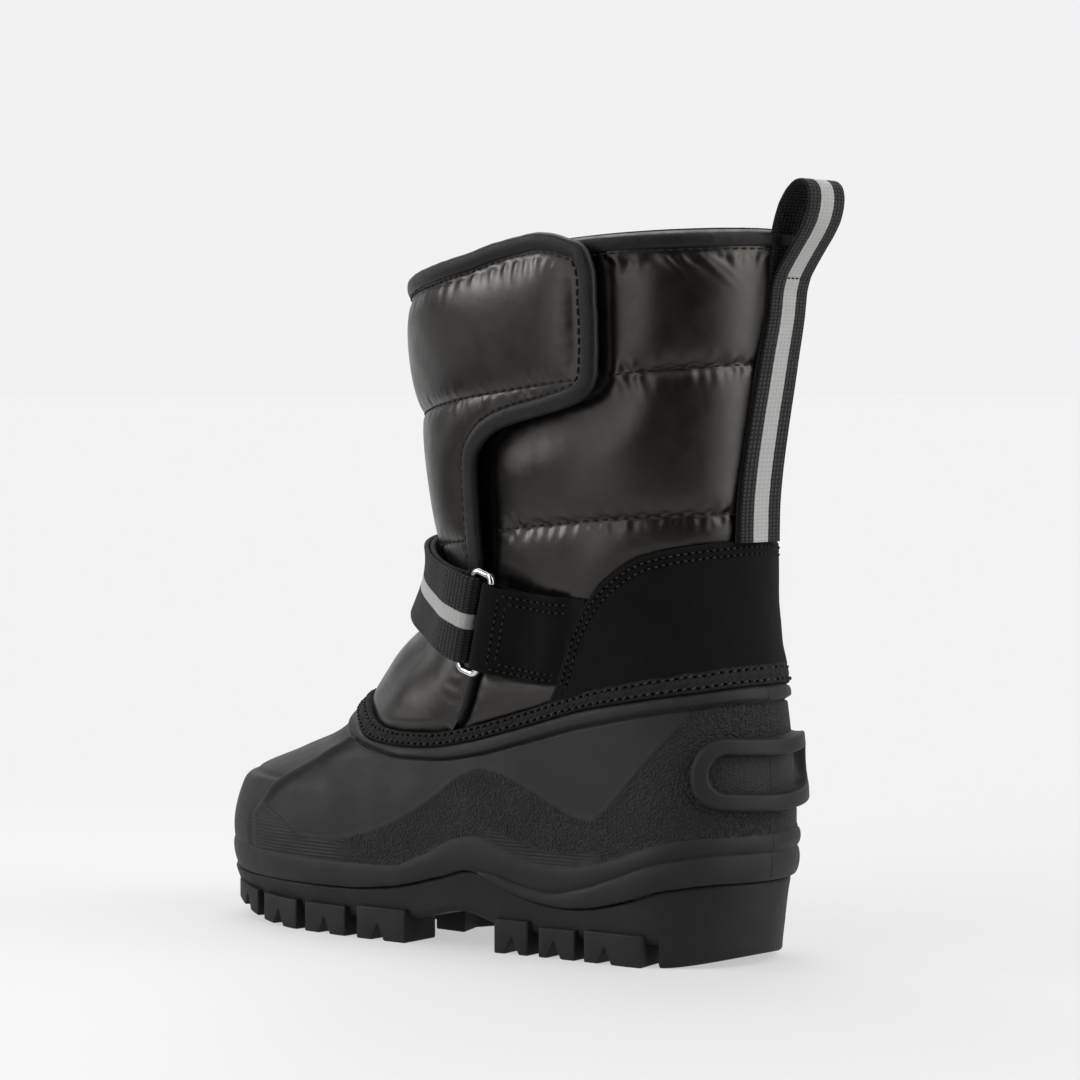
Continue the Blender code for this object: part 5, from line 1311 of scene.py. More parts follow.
def swept(name, line, out, side, profile, material, closed=False, run=None, flip=False, lumps=None, **more):
    """A band of constant section: profile is (side, out) in mm from the line."""
    profile = np.asarray(profile, float)
    points = (line[:, None] + side[:, None] * profile[None, :, :1] + out[:, None] * profile[None, :, 1:])
    if lumps is not None:
        points = points + out[:, None] * lumps[..., None]
    step = np.linalg.norm(np.diff(profile, axis=0), axis=-1)
    around = np.concatenate([[0], np.cumsum(step)])
    if run is None:
        run = np.concatenate([[0], np.cumsum(np.linalg.norm(np.diff(line, axis=0), axis=-1))])
    st = np.stack(np.broadcast_arrays(run[:, None], around[None, :], 0.0), -1)
    rows, cols = points.shape[:2]
    quads = quads_of(rows, cols, False, flip)
    if closed:
        k = np.arange(cols - 1)
        end = (rows - 1) * cols
        a = np.stack([end + k, k, k + 1, end + k + 1], -1)
        quads = np.concatenate([quads, a[:, ::-1] if flip else a])
    return build(name, points, quads, material, {"st": st.reshape(-1, 3)}, **more)


def bow(points, count):
    """A smooth closed-form curve through a few profile points."""
    points = np.asarray(points, float)
    s = np.concatenate([[0], np.cumsum(np.linalg.norm(np.diff(points, axis=0), axis=-1))])
    return flow(s, points, np.linspace(0, s[-1], count))


dark, grey, fine = Threads(), Threads(), Threads()
tape_rows, tape_holes, nubuck_holes = Threads(), Threads(), Threads()

# collar binding over the rim, open at the throat under the flap
tc = (np.arange(900) / 900)
c_line, c_out = skin(tc, np.full(900, COLLAR)), skin.normal(tc, np.full(900, COLLAR))
c_up = unit(skin(tc, np.full(900, 1.0)) - skin(tc, np.full(900, 0.985)))
collar_profile = bow([(-4.6, -0.5), (-4.55, 0.45), (-4.1, 0.80), (-2.9, 1.10), (-1.7, 1.0), (-0.8, 0.35), (-0.4, -0.9),
                      (-0.25, -2.6), (-0.5, -4.6), (-1.5, -6.1), (-3.3, -6.9), (-5.0, -6.9), (-5.7, -6.2), (-5.7, -5.3)], 38)
ripple_c = smooth_line(np.random.default_rng(31).uniform(-1, 1, (900, 1)), 5, True) * 0.25
under_flap = ((tc > 0.185) & (tc < FLAP_SEAM)).astype(float)
for _ in range(12):
    under_flap = (np.roll(under_flap, 1) + 2 * under_flap + np.roll(under_flap, -1)) / 4
c_shift = c_out * (ripple_c * 0.5 - 1.6 * under_flap[:, None])
swept("collar_binding", c_line + c_shift, c_out, c_up, collar_profile, SATIN, closed=True,
      body_slot="binding_tape")
for drop, lift in ((-5.2, 0.25),):
    fine.row(c_line + c_up * drop + c_out * lift + c_shift, c_out, 2.6, 1.9, 0.24, lift=0.16, sink=0.3)

# ------------------------------------------------------------------- front flap
F_COLS, F_ROWS = 236, 210
tf = np.linspace(0.150, FLAP_SEAM, F_COLS)
vf = np.linspace(0.365, 1.016, F_ROWS)
t_f, v_f = np.meshgrid(tf, vf)

foot_t = np.linspace(0.29, FLAP_SEAM, 160)
foot_v = skin.climb(foot_t, skin.climb(foot_t, topline(foot_t), BINDING_HIGH + 0.5), -1.4)
foot_at = np.interp(t_f, foot_t, foot_v)
over_foot = v_f > foot_at - (vf[1] - vf[0])
v_f = np.where(over_foot, np.maximum(v_f, foot_at), v_f)
g_f, n_f = skin(t_f, v_f), skin.normal(t_f, v_f)
foot_start = float(np.interp(0.29, foot_t, foot_v))
edge_v = np.linspace(foot_start, 0.990, 260)
edge_t = flap_edge(edge_v)
edge_vv = edge_v + (read(FLAP_TOP, edge_t) - COLLAR) * ease(0.9, 1.0, edge_v)
top_t = np.linspace(0.196, FLAP_SEAM, 300)
rim_t = np.concatenate([edge_t, top_t])
rim_v = np.concatenate([edge_vv, read(FLAP_TOP, top_t)])
rim = np.concatenate([skin(rim_t, rim_v), rim_t[:, None], rim_v[:, None]], 1)
run = np.concatenate([[0], np.cumsum(np.linalg.norm(np.diff(rim[:, :3], axis=0), axis=-1))])
q = np.arange(0, run[-1], 0.6)
rim = np.stack([np.interp(q, run, rim[:, k]) for k in range(5)], -1)
rim = smooth_line(rim, 14)
rim_ground = skin(rim[:, 3], rim[:, 4])
rim_out = skin.normal(rim[:, 3], rim[:, 4])
rim_ahead = unit(np.gradient(rim_ground, axis=0))
rim_in = unit(np.cross(rim_ahead, rim_out))
middle = skin(np.array([0.42]), np.array([0.9]))[0]
if np.mean(np.einsum("ij,ij->i", rim_in, middle - rim_ground)) < 0:
    rim_in = -rim_in


closing = skin(edge_t, edge_vv)[::4]


def flap_lift(t, v):
    """The closing edge stands off the shaft a little."""
    t, v = np.broadcast_arrays(np.asarray(t, float), np.asarray(v, float))
    p = skin(t.ravel(), v.ravel())
    # distance to the edge, rounded off where two parts of the edge are as near
    far = 11.6 - 5.0 * np.concatenate([np.log(np.exp(np.linalg.norm(part[:, None] - closing[None], axis=-1) / -5.0).sum(-1))
                                       for part in np.array_split(p, max(len(p) // 4000, 1))])
    return 3.4 * ease(0.52, 0.66, v) * (1 - ease(3.0, 36.0, far.reshape(t.shape)))


# inside the outline: to the right of the edge, below the top, above the foot
top_v = read(FLAP_TOP, np.clip(t_f, 0.15, 0.70))
inside = (t_f > flap_edge(v_f)) & (v_f < top_v) & over_foot
flat_rim = rim_ground[::2]
flat_foot = skin(foot_t, foot_v)
to_rim = np.empty(t_f.shape)
to_foot = np.empty(t_f.shape)
for r in range(F_ROWS):
    to_rim[r] = np.linalg.norm(g_f[r][:, None] - flat_rim[None], axis=-1).min(-1)
    to_foot[r] = np.linalg.norm(g_f[r][:, None] - flat_foot[None], axis=-1).min(-1)
kept = inside & (to_rim > 0.5)
hem_f = 5.9 * (0.58 + 0.42 * ease(0.50, 0.60, v_f))         # the binding is narrower under the ring

low_line = np.maximum(0.633, read(BELT, np.clip(t_f, 0.17, 0.74)) + 0.066)
strap_zone = (np.abs(belt.across_of(np.clip(t_f, 0.17, 0.74), v_f)) < WEB_WIDE / 2 - 1.5) & (v_f < low_line)
seam_f = (np.abs(v_f - QUILT_HIGH) < 0.5 * (vf[1] - vf[0])) | (np.abs(v_f - low_line) < 0.55 * (vf[1] - vf[0]))
sewn_f = (~kept) | (to_rim < hem_f) | (to_foot < 0.9) | seam_f | strap_zone | (t_f > FLAP_SEAM - 0.004)
level = FLAP_EDGE + flap_lift(t_f, v_f) - PINCH_FLAP * pinch(t_f, v_f)
level = np.where(seam_f & (to_rim > 5.9), level - 0.2, level)
level = level - 1.7 * (1 - ease(0.0, 4.5, to_foot))
# over the instep it lies close, but stays on the shaft's quilt
level = level - 1.3 * ease(0.36, 0.42, t_f) * (1 - ease(0.50, 0.56, v_f))
level = np.maximum(level, 0.3 - PRESSED - PINCH_UPPER * pinch(t_f, v_f))
into_seam = ease(FLAP_SEAM - 0.012, FLAP_SEAM - 0.001, t_f)
level = level + into_seam * (-SEAM_DIP - 0.4 - PINCH_UPPER * pinch(t_f, v_f) - level)
film_f = pillow(sewn_f, g_f, False)
high_f = np.where(v_f < QUILT_HIGH, 4.1 - 1.6 * ease(0.36, 0.44, t_f), 4.1)
loft_f = np.where(v_f < low_line, 1.5 - 0.6 * ease(0.36, 0.42, t_f), high_f) * (1 - np.exp(-film_f / 110.0))
rim_run = np.arange(len(rim_ground)) * 0.6
along_f = np.empty(t_f.shape)
for r in range(F_ROWS):
    along_f[r] = rim_run[np.linalg.norm(g_f[r][:, None] - rim_ground[None], axis=-1).argmin(-1)]
pucker_f = np.zeros(t_f.shape)
for t0, v0, length, half_wide, height, lean in FLAP_RIM_FOLDS:
    place = rim_run[np.linalg.norm(rim_ground - skin(t0, v0)[None], axis=-1).argmin()]
    pucker_f += puckers(along_f, to_rim - hem_f, ((place, length, half_wide, (0.28 if v0 > 0.9 else 0.6) * height, lean),))
rise_f = skin.sample(skin.rise, t_f, v_f)
off_f = rise_f - skin.sample(skin.rise, t_f, np.full(t_f.shape, QUILT_HIGH))
low_f = rise_f - skin.sample(skin.rise, t_f, low_line)
jitter = np.random.default_rng(44).uniform(-1, 1, (70, 3))
for k in range(70):
    gap = (t_f - (0.19 + 0.0072 * k + 0.002 * jitter[k, 0])) * circ
    for across_mm, share in ((off_f, 1.0), (-off_f, 0.8), (low_f, 0.8), (-low_f, 0.8)):
        pucker_f += puckers(gap, across_mm, ((0.0, 4.5 + 1.5 * jitter[k, 1], 1.0, share * (0.22 + 0.14 * jitter[k, 2]), 0.0),))
pucker_f = np.where(sewn_f, 0.0, pucker_f)
goal_f = loft_f + pucker_f
ripple_f = noise2(t_f.shape, (14, 24), 41) * 0.35
start_f = level + goal_f + np.where(sewn_f, 0.0, ripple_f * np.clip(loft_f / 2.0, 0, 1))
to_sewn = np.minimum(np.minimum(np.abs(off_f), np.abs(low_f)), np.clip(to_rim - hem_f, 0, None))
slack_f = 1.005 + 0.035 * np.exp(-(to_sewn / 4.5) ** 2)
flap = settle(skin(t_f, v_f, start_f), skin(t_f, v_f, level), n_f, sewn_f, slack_f, 1.012, goal_f,
              STEPS, False)
under_f = skin(t_f, v_f, np.minimum(FLAP_UNDER + flap_lift(t_f, v_f) - PINCH_UPPER * pinch(t_f, v_f), level - 0.4))
cells_f = kept[:-1, :-1] & kept[1:, :-1] & kept[:-1, 1:] & kept[1:, 1:]
quads_f = quads_of(F_ROWS, F_COLS)[cells_f.ravel()]
flap_verts = np.concatenate([flap.reshape(-1, 3), under_f.reshape(-1, 3)])
flap_quads = np.concatenate([quads_f, quads_f[:, ::-1] + F_ROWS * F_COLS])
used, flap_quads = np.unique(flap_quads, return_inverse=True)
flap_quads = flap_quads.reshape(-1, 4)
st_f = np.stack([t_f * circ, skin.sample(skin.rise, t_f, v_f), np.zeros_like(t_f)], -1).reshape(-1, 3)
flap_piece = build("front_flap_quilt", flap_verts[used], flap_quads, NYLON,
                   {"st": np.concatenate([st_f, st_f])[used]}, body_slot="quilted_nylon",
                   stands_for=["front_flap"])

# satin binding round the flap's edge
rim_level = flap_lift(rim[:, 3], rim[:, 4]) - PINCH_FLAP * pinch(rim[:, 3], rim[:, 4])
rim_level = rim_level - 2.4 * (1 - ease(1.0, 6.5, rim_run)) - 0.7 * (1 - ease(0.46, 0.56, rim[:, 4]))
edge_wave = smooth_line(np.random.default_rng(32).uniform(-1, 1, (len(rim), 1)), 6) * 0.35
# narrow under the ring, and running out into the collar at the inner side
run_out = ease(0.0, 8.0, rim_run[-1] - rim_run)
rim_level = rim_level - 1.4 * (1 - run_out)
rim_wide = ((0.58 + 0.42 * ease(0.50, 0.60, rim[:, 4])) * (0.15 + 0.85 * run_out))[:, None]
rim_high = (0.10 + 0.90 * run_out)[:, None]
rim_line = rim_ground + rim_out * rim_level[:, None] + rim_in * edge_wave * 0.5
rim_profile = bow([(4.2, 0.75), (4.15, 1.55), (3.7, 1.85), (2.2, 2.15), (0.8, 2.0), (-0.25, 1.35), (-0.55, 0.35),
                   (-0.2, -0.6), (0.9, -1.05), (3.2, -0.95)], 26)
swept("flap_binding", rim_line, rim_out * rim_high, rim_in * rim_wide, rim_profile, SATIN, flip=False, body_slot="binding_tape")
dark.row(rim_line + rim_in * 4.75 * rim_wide + rim_out * 1.2, rim_out, 2.6, 1.9, 0.24, lift=0.16, sink=0.3)

# stitches in the quilt seams
for row in (SEAM_1, SEAM_2):
    keep = ~(held | in_flap)[row]
    line = quilt[row]
    start = None
    for k in range(U_COLS):
        if keep[k] and start is None:
            start = k
        if start is not None and (not keep[k] or k == U_COLS - 1):
            if k - start > 6:
                fine.row(line[start:k] + n_u[row, start:k] * 0.15, n_u[row, start:k], 3.0, 2.1, 0.24, lift=0.16, sink=0.3)
            start = None
for r in (int(np.argmin(np.abs(vf - QUILT_HIGH))),):
    keep = kept[r] & (to_rim[r] > 4.0)
    fine.row(flap[r][keep] + n_f[r][keep] * 0.15, n_f[r][keep], 3.0, 2.1, 0.24, lift=0.16, sink=0.3)
low_t = np.linspace(0.318, FLAP_SEAM - 0.01, 200)
low_v = np.maximum(0.633, read(BELT, low_t) + 0.066)
low_p = skin(low_t, low_v, FLAP_EDGE + flap_lift(low_t, low_v) - PINCH_FLAP * pinch(low_t, low_v) + 0.1)
fine.row(low_p, skin.normal(low_t, low_v), 3.0, 2.1, 0.24, lift=0.16, sink=0.3)

# hook-and-loop pad behind the closing edge
pad_t = np.linspace(-1, 1, 40)
pad_v = np.linspace(0.806, 0.925, 60)
p_t, p_v = np.meshgrid(pad_t, pad_v)
pad_mid = flap_edge(pad_v)[:, None] + 0.0240
pt = pad_mid + p_t * 0.020
bulge = np.clip(1 - np.abs(p_t) ** 6, 0, 1) * np.clip(1 - np.abs((p_v - 0.8655) / 0.0595) ** 10, 0, 1)
pad_points = skin(pt, p_v, -0.9 + 1.9 * bulge ** 0.5 + 0.35 * noise2(pt.shape, (40, 26), 51))
grid_piece("closure_pad", pad_points, HOOK, body_slot="quilted_nylon")

# -------------------------------------------------------------- topline binding
tb = np.arange(900) / 900
b_v = skin.climb(tb, topline(tb), 3.4)
b_line, b_out = skin(tb, b_v), skin.normal(tb, b_v)
b_up = unit(skin(tb, b_v + 0.006) - skin(tb, b_v - 0.006))
tape_profile = bow([(-2.95, -0.6), (-2.95, 0.55), (-2.5, 1.15), (-1.7, 1.35), (-0.9, 1.15), (0.0, 1.30), (0.9, 1.20),
                    (1.6, 1.0), (2.3, 1.05), (2.8, 0.6), (2.85, -0.6)], 26)
rough_b = smooth_line(np.random.default_rng(33).uniform(-1, 1, (900, 1)), 2, True) * 0.55
lumps_b = noise2((900, 26), (300, 6), 34) * 0.12
b_line = b_line + b_out * rough_b * 0.5 + b_up * rough_b * 0.25
swept("topline_tape", b_line, b_out, b_up, tape_profile, TAPE, closed=True,
      lumps=lumps_b, body_slot="binding_tape", stands_for=["topline_binding"])
for height, fat, level_b in ((-1.75, 0.36, 1.36), (1.45, 0.31, 1.10)):
    tape_rows.row(b_line + b_up * height + b_out * level_b, b_out, 2.5, 1.5, fat, lift=0.16, sink=0.5, slant=0.45)
    tape_holes.row(b_line + b_up * height + b_out * level_b, b_out, 2.5, 1.15, fat - 0.04, lift=0.13, sink=0.25, shift=1.25)

# ----------------------------------------------------------------- heel counter
K_COLS, K_ROWS = 260, 70
tk = np.linspace(-COUNTER_FRONT, COUNTER_FRONT, K_COLS)
low_k = skin.climb(tk, skin.climb(tk, topline(tk), BINDING_HIGH + 0.5), -0.2)
high_k = counter_top(tk)
v_k = low_k + (high_k - low_k) * np.linspace(0, 1, K_ROWS)[:, None]
t_k = np.broadcast_to(tk, v_k.shape)
g_k = skin(t_k, v_k)
top_k = g_k[-1]
ends_k = np.concatenate([g_k[:, 0], g_k[:, -1]])
to_edge = np.empty(v_k.shape)
for r in range(K_ROWS):
    to_edge[r] = np.minimum(np.linalg.norm(g_k[r][:, None] - top_k[None], axis=-1).min(-1),
                            np.linalg.norm(g_k[r][:, None] - ends_k[None], axis=-1).min(-1))
crown = ON_UPPER + COUNTER_THICK + 0.15
off_k = crown - 0.55 * (1 - ease(0.0, 1.1, to_edge)) - 0.22 * np.exp(-((to_edge - 1.7) / 0.5) ** 2) \
    - 0.22 * np.exp(-((to_edge - 3.6) / 0.5) ** 2)
off_k = off_k + 0.18 * noise2(v_k.shape, (5, 18), 61)
k_points = skin(t_k, v_k, off_k)


def skirt(points, t, v, off, deep):
    """Turns the four edges of a patch down to the level deep."""
    rows = [skin(t[:1], v[:1], np.full(t[:1].shape, deep)), points, skin(t[-1:], v[-1:], np.full(t[-1:].shape, deep))]
    points = np.concatenate(rows)
    t2 = np.concatenate([t[:1], t, t[-1:]])
    v2 = np.concatenate([v[:1], v, v[-1:]])
    left = skin(t2[:, :1], v2[:, :1], np.full(t2[:, :1].shape, deep))
    right = skin(t2[:, -1:], v2[:, -1:], np.full(t2[:, -1:].shape, deep))
    return np.concatenate([left, points, right], 1)


grid_piece("counter_nubuck", skirt(k_points, t_k, v_k, off_k, ON_UPPER - 0.3), NUBUCK, body_slot="nubuck",
           stands_for=["heel_counter"], sharp=50)
# double row of stitches along the top and down the front edges
edge_line_t = np.concatenate([np.full(40, -COUNTER_FRONT), tk, np.full(40, COUNTER_FRONT)])
edge_line_v = np.concatenate([np.linspace(low_k[0], high_k[0], 40), high_k, np.linspace(high_k[-1], low_k[-1], 40)])
edge_k = np.concatenate([skin(edge_line_t, edge_line_v), edge_line_t[:, None], edge_line_v[:, None]], 1)
run = np.concatenate([[0], np.cumsum(np.linalg.norm(np.diff(edge_k[:, :3], axis=0), axis=-1) + 1e-6)])
q = np.arange(0, run[-1], 0.5)
edge_k = smooth_line(np.stack([np.interp(q, run, edge_k[:, k]) for k in range(5)], -1), 40)
k_ground, k_out = skin(edge_k[:, 3], edge_k[:, 4]), skin.normal(edge_k[:, 3], edge_k[:, 4])
k_in = unit(np.cross(unit(np.gradient(k_ground, axis=0)), k_out))
centre_k = skin(np.array([0.0]), np.array([0.48]))[0]
if np.mean(np.einsum("ij,ij->i", k_in, centre_k - k_ground)) < 0:
    k_in = -k_in
for inset in (1.7, 3.6):
    line = k_ground + k_in * inset + k_out * (crown - 0.12)
    grey.row(line[12:-12], k_out[12:-12], 2.0, 1.2, 0.25, lift=0.14, sink=0.3)
    nubuck_holes.row(line[12:-12], k_out[12:-12], 2.0, 0.95, 0.24, lift=0.10, sink=0.2, shift=1.0)

# -------------------------------------------------------------- bands of webbing


def band(name, path, wide, thick, place, material, step=0.6, stations=34, round_mm=0.35, attrs=None, **more):
    """A strip of the given thickness whose middle follows path (along, out)."""
    path, run = resample(smooth_line(resample(path, step)[0], 3), step)
    d = np.gradient(path, axis=0)
    n = unit(np.stack([-d[:, 1], d[:, 0]], -1))
    s = np.linspace(-wide / 2 + round_mm, wide / 2 - round_mm, stations)
    arc = np.linspace(0, math.pi, 7)[1:-1]
    across = np.concatenate([s, wide / 2 - round_mm + round_mm * np.sin(arc), s[::-1],
                             -wide / 2 + round_mm - round_mm * np.sin(arc)])
    h = thick / 2
    out = np.concatenate([np.full(stations, h), h * np.cos(arc), np.full(stations, -h), -h * np.cos(arc)])
    points = place(path[:, None, 0] + n[:, None, 0] * out[None], np.broadcast_to(across[None], (len(path), len(across))),
                   path[:, None, 1] + n[:, None, 1] * out[None])
    cap_a = place(path[:1, None, 0] + 0 * across[None], across[None], path[:1, None, 1] + 0 * across[None])
    cap_b = place(path[-1:, None, 0] + 0 * across[None], across[None], path[-1:, None, 1] + 0 * across[None])
    points = np.concatenate([cap_a, points, cap_b])
    run = np.concatenate([run[:1], run, run[-1:]])
    st = np.stack(np.broadcast_arrays(run[:, None], across[None], np.sign(out)[None]), -1)
    extra = {"st": st.reshape(-1, 3)}
    for key, fn in (attrs or {}).items():
        extra[key] = np.broadcast_to(fn(run)[:, None], st.shape[:2]).ravel()
    obj = grid_piece(name, points, material, closed=True, attrs=extra, **more)
    return obj, path, n


def turn(centre, radius, first, last, number):
    return [(centre[0] + radius * math.cos(a), centre[1] + radius * math.sin(a))
            for a in np.linspace(first, last, number)]


# ring
ring_path = []
for cx, cy, start in ((1, 1, 0.0), (-1, 1, 0.5), (-1, -1, 1.0), (1, -1, 1.5)):
    for k in range(17):
        a = math.pi * (start + k / 32)
        ring_path.append((cx * (RING_HALF_WIDE - RING_CORNER) + RING_CORNER * math.cos(a),
                          cy * (RING_HALF_LONG - RING_CORNER) + RING_CORNER * math.sin(a), math.cos(a), math.sin(a)))
ring_path = np.array(ring_path)
angle = np.arange(20) * 2 * math.pi / 20
rc, rs = WIRE * np.cos(angle)[None], WIRE * np.sin(angle)[None]
ring_points_mm = belt.flat(ring_path[:, 0:1] + ring_path[:, 2:3] * rc, ring_path[:, 1:2] + ring_path[:, 3:4] * rc,
                           RING_OFF + rs + 0 * ring_path[:, :1])
count_r = len(ring_path)
quads_r = quads_of(count_r, 20, True)
k = np.arange(20)
quads_r = np.concatenate([quads_r, np.stack([(count_r - 1) * 20 + k, k, (k + 1) % 20, (count_r - 1) * 20 + (k + 1) % 20], -1)])
build("ring_wire", ring_points_mm, quads_r, CHROME, body_slot="ring_chrome", stands_for=["strap_ring"])

def tucked(a):
    """How far the tab has gone under the counter's edge."""
    return 1 - ease(tab_meets - 0.5, tab_meets + 6.5, a)


# tab folded round the ring's rear bar
tab_meets = belt.at(COUNTER_FRONT)
tab_rear = tab_meets - 4.5
bar = -RING_HALF_WIDE
eye = WIRE + 0.35 + TAB_THICK / 2
low_level = ON_UPPER + TAB_THICK / 2
high_level = low_level + TAB_THICK + 0.15
low_run = [(a, low_level + (RING_OFF - eye - low_level) * float(ease(-16.0, bar, a)) - 1.7 * tucked(a))
           for a in np.linspace(tab_rear, bar, 40)[:-1]]
high_run = [(a, high_level + (RING_OFF + eye - high_level) * float(ease(-17.0, bar, a)) - 1.9 * tucked(a))
            for a in np.linspace(bar, tab_rear, 40)[1:]]
tab_path = low_run + turn((bar, RING_OFF), eye, -math.pi / 2, math.pi / 2, 25) + high_run
band("tab_nubuck", tab_path, TAB_WIDE, TAB_THICK, belt, NUBUCK, 0.5, 30, 0.4, body_slot="nubuck", stands_for=["ring_tab"])


def tab_level(a):
    return high_level + (RING_OFF + eye - high_level) * ease(-17.0, bar, a) + TAB_THICK / 2 - 1.9 * tucked(a)


def tab_line(points):
    """Stitch line over the tab from corners (along, across)."""
    line, _ = resample(points, 0.4)
    p = belt(line[:, 0], line[:, 1], tab_level(line[:, 0]) + 0.02)
    q = belt(line[:, 0], line[:, 1], tab_level(line[:, 0]) + 1.02)
    return p, unit(q - p)


tab_front = bar - 4.6
hw = TAB_WIDE / 2
for inset in (1.6, 3.5):
    p, n = tab_line([(tab_meets + 1.0, hw - inset), (tab_front - (inset - 1.6), hw - inset)])
    grey.row(p, n, 2.0, 1.2, 0.24, lift=0.14, sink=0.3)
    nubuck_holes.row(p, n, 2.0, 0.95, 0.23, lift=0.10, sink=0.2, shift=1.0)
    p, n = tab_line([(tab_front - (inset - 1.6), hw - inset), (tab_front - (inset - 1.6), -hw + inset)])
    grey.row(p, n, 2.0, 1.2, 0.24, lift=0.14, sink=0.3)
    nubuck_holes.row(p, n, 2.0, 0.95, 0.23, lift=0.10, sink=0.2, shift=1.0)
    p, n = tab_line([(tab_front - (inset - 1.6), -hw + inset), (tab_meets + 1.0, -hw + inset)])
    grey.row(p, n, 2.0, 1.2, 0.24, lift=0.14, sink=0.3)
    nubuck_holes.row(p, n, 2.0, 0.95, 0.23, lift=0.10, sink=0.2, shift=1.0)

# strap: sewn at the inner side, over the flap, round the ring's front bar and back
bar = RING_HALF_WIDE
bend = WIRE + 0.35 + WEB_THICK / 2
end, tip = belt.at(STRAP_END), belt.at(STRAP_TIP)
seam = belt.at(FLAP_SEAM)
on_flap = FLAP_BODY + 0.3 + FIT + 0.3 + WEB_THICK / 2
on_upper = ON_UPPER + WEB_THICK / 2 + 0.5


def lower_level(a):
    down = on_upper + (on_flap - on_upper) * float(ease(seam + 9.0, seam - 4.0, a))
    t = float(np.interp(a, belt.run, belt.t))
    down -= PINCH_FLAP * float(pinch(t, read(BELT, t)))
    return down + (RING_OFF - bend - on_flap) * (1 - float(ease(bar, bar + 9.0, a)))


def upper_level(a):
    t = float(np.interp(a, belt.run, belt.t))
    rest = on_flap + WEB_THICK + 0.4 - PINCH_FLAP * float(pinch(t, read(BELT, t)))
    return rest + (RING_OFF + bend - rest) * (1 - float(ease(bar, bar + 14.0, a)))


inner_run = [(a, lower_level(a)) for a in np.linspace(end, bar, 120)[:-1]]
outer_run = [(a, upper_level(a)) for a in np.linspace(bar, tip, 110)[1:]]
strap_path = inner_run + turn((bar, RING_OFF), bend, -math.pi / 2, -1.5 * math.pi, 25) + outer_run
inner_length = float(np.sum(np.linalg.norm(np.diff(np.array(inner_run), axis=0), axis=-1)))


def fuzz_of(run):
    past = run - inner_length - math.pi * bend
    return 0.75 * ease(8.0, 16.0, np.abs(past))


band("strap_web", strap_path, WEB_WIDE, WEB_THICK, belt, STRAP_WEB, 0.5, 40, 0.5, attrs={"fuzz": fuzz_of},
     body_slot="webbing", stands_for=["instep_strap"])

# -------------------------------------------------------------------- pull loop
web = ON_UPPER + PULL_THICK / 2
over_web = PULL_THICK + 0.15
rise_per_v = float(np.linalg.norm(skin(0.0, 1.0) - skin(0.0, 0.98))) / 0.02
foot_height = (float(skin.climb(0.0, 0.600, 0.0)) - COLLAR) * rise_per_v
pull_path = [(web, h) for h in np.linspace(foot_height, -5.0, 40)]
pull_path += [(web + a, h) for a, h in LOOP]
pull_path += [(web + over_web, h) for h in np.linspace(-16.0, foot_height, 40)]
loop_up = (skin(0.0, 1.0) - skin(0.0, 0.98)) / (0.02 * rise_per_v)
fine_t = np.linspace(-0.12, 0.12, 161)


pull_arr = np.array(pull_path)
pull_fine, pull_run = resample(smooth_line(resample(pull_arr, 0.6)[0], 3), 0.6)
d = np.gradient(pull_fine, axis=0)
pn = unit(np.stack([d[:, 1], -d[:, 0]], -1))
stations, round_p = 30, 0.4
s = np.linspace(-PULL_WIDE / 2 + round_p, PULL_WIDE / 2 - round_p, stations)
arc = np.linspace(0, math.pi, 7)[1:-1]
pull_across = np.concatenate([s, PULL_WIDE / 2 - round_p + round_p * np.sin(arc), s[::-1],
                              -PULL_WIDE / 2 + round_p - round_p * np.sin(arc)])
ph = PULL_THICK / 2
pull_off = np.concatenate([np.full(stations, ph), ph * np.cos(arc), np.full(stations, -ph), -ph * np.cos(arc)])


def pull_points(out_mid, normal):
    """Rows across the web for each station, all round its section."""
    result = np.empty((len(out_mid), len(pull_across), 3))
    for i, ((o, h), n) in enumerate(zip(out_mid, normal)):
        v = COLLAR + min(h, 0.0) / rise_per_v
        xs = skin(fine_t, np.full(161, v))[:, 0]
        centre = float(web_middle(v))
        tt = np.interp(-(pull_across + centre), -xs, fine_t)
        row = skin(tt, np.full(len(tt), v), np.full(len(tt), web))
        t_mid = float(np.interp(-centre, -xs, fine_t))
        direction = skin.normal(t_mid, v)
        # the web is stiff: it lies nearly flat across its width
        flat_way = skin(t_mid - 0.01, v) - skin(t_mid + 0.01, v)
        flat_way = 0.4 * flat_way / np.linalg.norm(flat_way) + np.array([0.6, 0.0, 0.0])
        flat_row = skin(t_mid, v, web) + pull_across[:, None] * (flat_way / np.linalg.norm(flat_way))
        row = 0.25 * row + 0.75 * flat_row
        result[i] = (row + direction * (o - web + n[0] * pull_off)[:, None]
                     + loop_up * (max(h, 0.0) + n[1] * pull_off)[:, None])
    return result


pull_grid = pull_points(pull_fine, pn)
pull_st = np.stack(np.broadcast_arrays(pull_run[:, None], (pull_across - 0.2)[None], np.sign(pull_off)[None]), -1)
grid_piece("pull_web", pull_grid, PULL_WEB, closed=True, attrs={"st": pull_st.reshape(-1, 3)}, flip=False,
           body_slot="webbing", stands_for=["pull_loop"])
# the tack that closes the loop, across the outer face
tack = len(pull_fine) // 2 + int(np.abs(pull_fine[len(pull_fine) // 2:, 1] + 12.6).argmin())
face = pull_grid[tack, stations + 5:2 * stations + 5]
away = unit(face - pull_grid[tack, :stations][::-1])
dark.row(face, away, 2.0, 1.85, 0.24, lift=0.05, sink=0.3)

